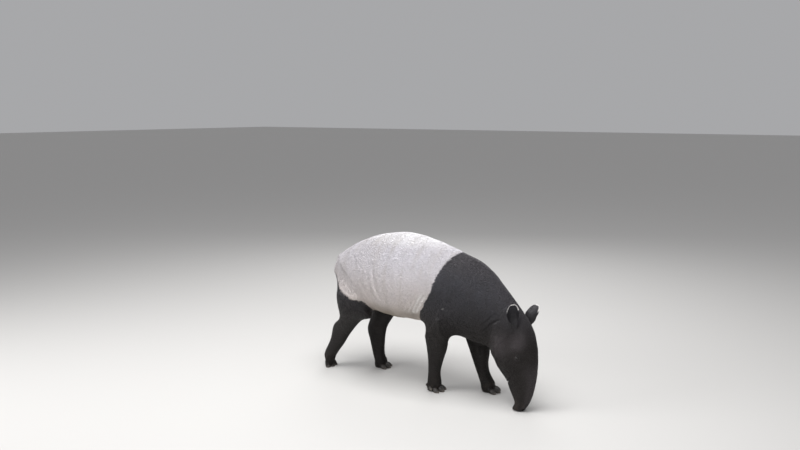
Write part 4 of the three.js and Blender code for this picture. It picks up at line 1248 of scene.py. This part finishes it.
def placed_group(tree, group, values):
    """A shader group in a material, its inputs set or linked."""
    made = tree.nodes.new("ShaderNodeGroup")
    made.node_tree = group
    return fill(tree, made, values).outputs


def streaked(tree, streaks, scale):
    """The hair's streaks along the lie kept at the mesh's points."""
    return placed_group(tree, streaks, {"Lie": attribute(tree, "lie", "Vector"), "Scale": scale})["Value"]


def marked(tree, markings, tone, edge):
    """The markings at the places that the mesh's own values give."""
    kept = {label: attribute(tree, label.lower()) for label in ("Saddle", "Mark", "Bare", "Painted_highlight")}
    return placed_group(tree, markings, {**kept, "Tone": tone, "Edge": edge})


def rings(tree, run, per_metre, shift):
    """Waves along a run, moved on and back by a shift."""
    return maths(tree, "SINE", maths(tree, "ADD", maths(tree, "MULTIPLY", run, per_metre), shift))


def bumped(tree, height, strength, distance):
    """The normal of a bump of the given height."""
    return node(tree, "Bump", {"Height": height, "Strength": strength, "Distance": distance}).outputs[0]


def hide_material(streaks, markings):
    """The skin under the coat: hair streaks and pores, wrinkles round the trunk of the nose, the ankles
    and the lids, and the same markings as the tufts."""
    material, tree, shader = new_material("hide")
    place, run = object_place(tree), attribute(tree, "run")
    streak = streaked(tree, streaks, 420.0)
    look = marked(tree, markings, mapped(tree, streak, 0.25, 0.75), 0.006)
    wave = rings(tree, run, 880.0, maths(tree, "MULTIPLY", noise(tree, place, 22.0, 2.0), 9.0))
    pores = node(tree, "TexVoronoi", {"Vector": place, "Scale": 420.0}).outputs["Distance"]
    height = streak
    for relief, depth in ((wave, mapped(tree, run, 0.22, 0.08, 0.0, 0.5)), (pores, attribute(tree, "bare")),
                          (noise(tree, place, 70.0, 3.0), 0.8)):
        height = maths(tree, "ADD", height, maths(tree, "MULTIPLY", relief, depth))
    fill(tree, shader, {
        "Base Color": look["Color"], "Roughness": look["Roughness"], "Specular IOR Level": 0.30,
        "Normal": bumped(tree, height, 0.55, 0.0012), "Sheen Weight": 0.04, "Sheen Roughness": 0.4})
    return material


def coat_material(streaks, markings):
    """The tufts: the markings at each root, a little lighter or darker from tuft to tuft."""
    material, tree, shader = new_material("coat")
    look = marked(tree, markings, attribute(tree, "tone"), 0.003)
    fill(tree, shader, {
        "Base Color": look["Color"], "Roughness": look["Roughness"], "Specular IOR Level": 0.30,
        "Normal": bumped(tree, streaked(tree, streaks, 900.0), 0.35, 0.0006),
        "Sheen Weight": 0.05, "Sheen Roughness": 0.35})
    return material


def horn_material():
    """Hoof horn: dark grey-brown, paler at its worn edge, with faint rings of growth and dry dust."""
    material, tree, shader = new_material("horn")
    place, run = object_place(tree), attribute(tree, "run")
    cloudy = noise(tree, place, 60.0, 3.0, 0.6)
    colour = layered(tree, (0.022, 0.019, 0.018), [
        (mapped(tree, cloudy, 0.3, 0.7), (0.052, 0.045, 0.040)),
        (mapped(tree, run, 0.012, 0.002, 0.0, 0.7), (0.15, 0.13, 0.11)),
        (mapped(tree, height_of(tree, place), 0.010, 0.0, 0.0, 0.5), (0.13, 0.105, 0.085))])
    growth = rings(tree, run, 2600.0, maths(tree, "MULTIPLY", cloudy, 5.0))
    relief = maths(tree, "ADD", maths(tree, "MULTIPLY", growth, 0.4), noise(tree, place, 300.0, 3.0))
    fill(tree, shader, {"Base Color": colour, "Roughness": mapped(tree, cloudy, 0.2, 0.8, 0.42, 0.62),
                        "Normal": bumped(tree, relief, 0.4, 0.0006)})
    return material


def eye_material():
    """A wet eye: a dark brown iris round a black pupil, and darkened white toward the corners."""
    material, tree, shader = new_material("wet_eye")
    off = attribute(tree, "mark")
    grain = mapped(tree, noise(tree, object_place(tree), 500.0, 3.0), 0.3, 0.7)
    brown = mixed(tree, grain, (0.006, 0.0034, 0.0023), (0.013, 0.007, 0.0045))
    colour = layered(tree, (0.003, 0.003, 0.004), [
        (mapped(tree, off, 0.38, 0.44), brown), (mapped(tree, off, 0.78, 0.90), (0.060, 0.046, 0.042))])
    fill(tree, shader, {"Base Color": colour, "Roughness": 0.2, "Specular IOR Level": 0.15,
                        "Coat Weight": 1.0, "Coat Roughness": 0.02})
    return material


hair_streaks, tapir_markings = streaks_group(), markings_group()
skin.data.materials.clear()
skin.data.materials.append(hide_material(hair_streaks, tapir_markings))
build_coats(coat_material(hair_streaks, tapir_markings))
build_hooves(horn_material())
build_eyes(eye_material())


# ---------------------------------------------------------------- floor and light
FLOOR_HALF = 60
# Each lamp's name, place, size and power, all turned to one point of the animal.
LAMPS = [("key", (0.2, -0.9, 4.8), 3.0, 215), ("front", (3.6, -4.2, 2.8), 2.6, 45),
         ("side", (-3.6, -3.8, 2.6), 2.6, 110), ("behind", (-2.0, 3.6, 3.6), 3.0, 60)]
LIT_POINT = np.array([0.1, 0.0, 0.5])


def build_stage():
    """A plain pale floor, and soft light from above, from the camera's side and from behind."""
    edge = np.linspace(-FLOOR_HALF, FLOOR_HALF, 3)
    x, y = np.meshgrid(edge, edge, indexing="ij")
    points = np.stack([x, y, 0 * x - 0.0005], -1).reshape(-1, 3)
    faces = [(0, 3, 4, 1), (1, 4, 5, 2), (3, 6, 7, 4), (4, 7, 8, 5)]
    mesh = bpy.data.meshes.new("floor")
    mesh.from_pydata(points.tolist(), [], faces)
    floor = new_object("floor", mesh)
    material, tree, shader = new_material("pale_floor")
    fill(tree, shader, {"Base Color": (0.62, 0.61, 0.595, 1), "Roughness": 0.9})
    mesh.materials.append(material)

    scene = bpy.context.scene
    scene.view_settings.view_transform = "Standard"
    scene.world = bpy.data.worlds.new("studio")
    scene.world.use_nodes = True
    sky = scene.world.node_tree
    fill(sky, sky.nodes["Background"], {"Color": (0.97, 0.975, 1.0, 1), "Strength": 0.40})
    for name, place, size, power in LAMPS:
        data = bpy.data.lights.new(name, "AREA")
        data.size = size
        data.energy = power
        light = bpy.data.objects.new(name, data)
        light.location = place
        aim = LIT_POINT - place
        light.rotation_euler = (math.atan2(np.hypot(aim[0], aim[1]), -aim[2]), 0,
                                math.atan2(aim[1], aim[0]) - math.pi / 2)
        scene.collection.objects.link(light)


build_stage()
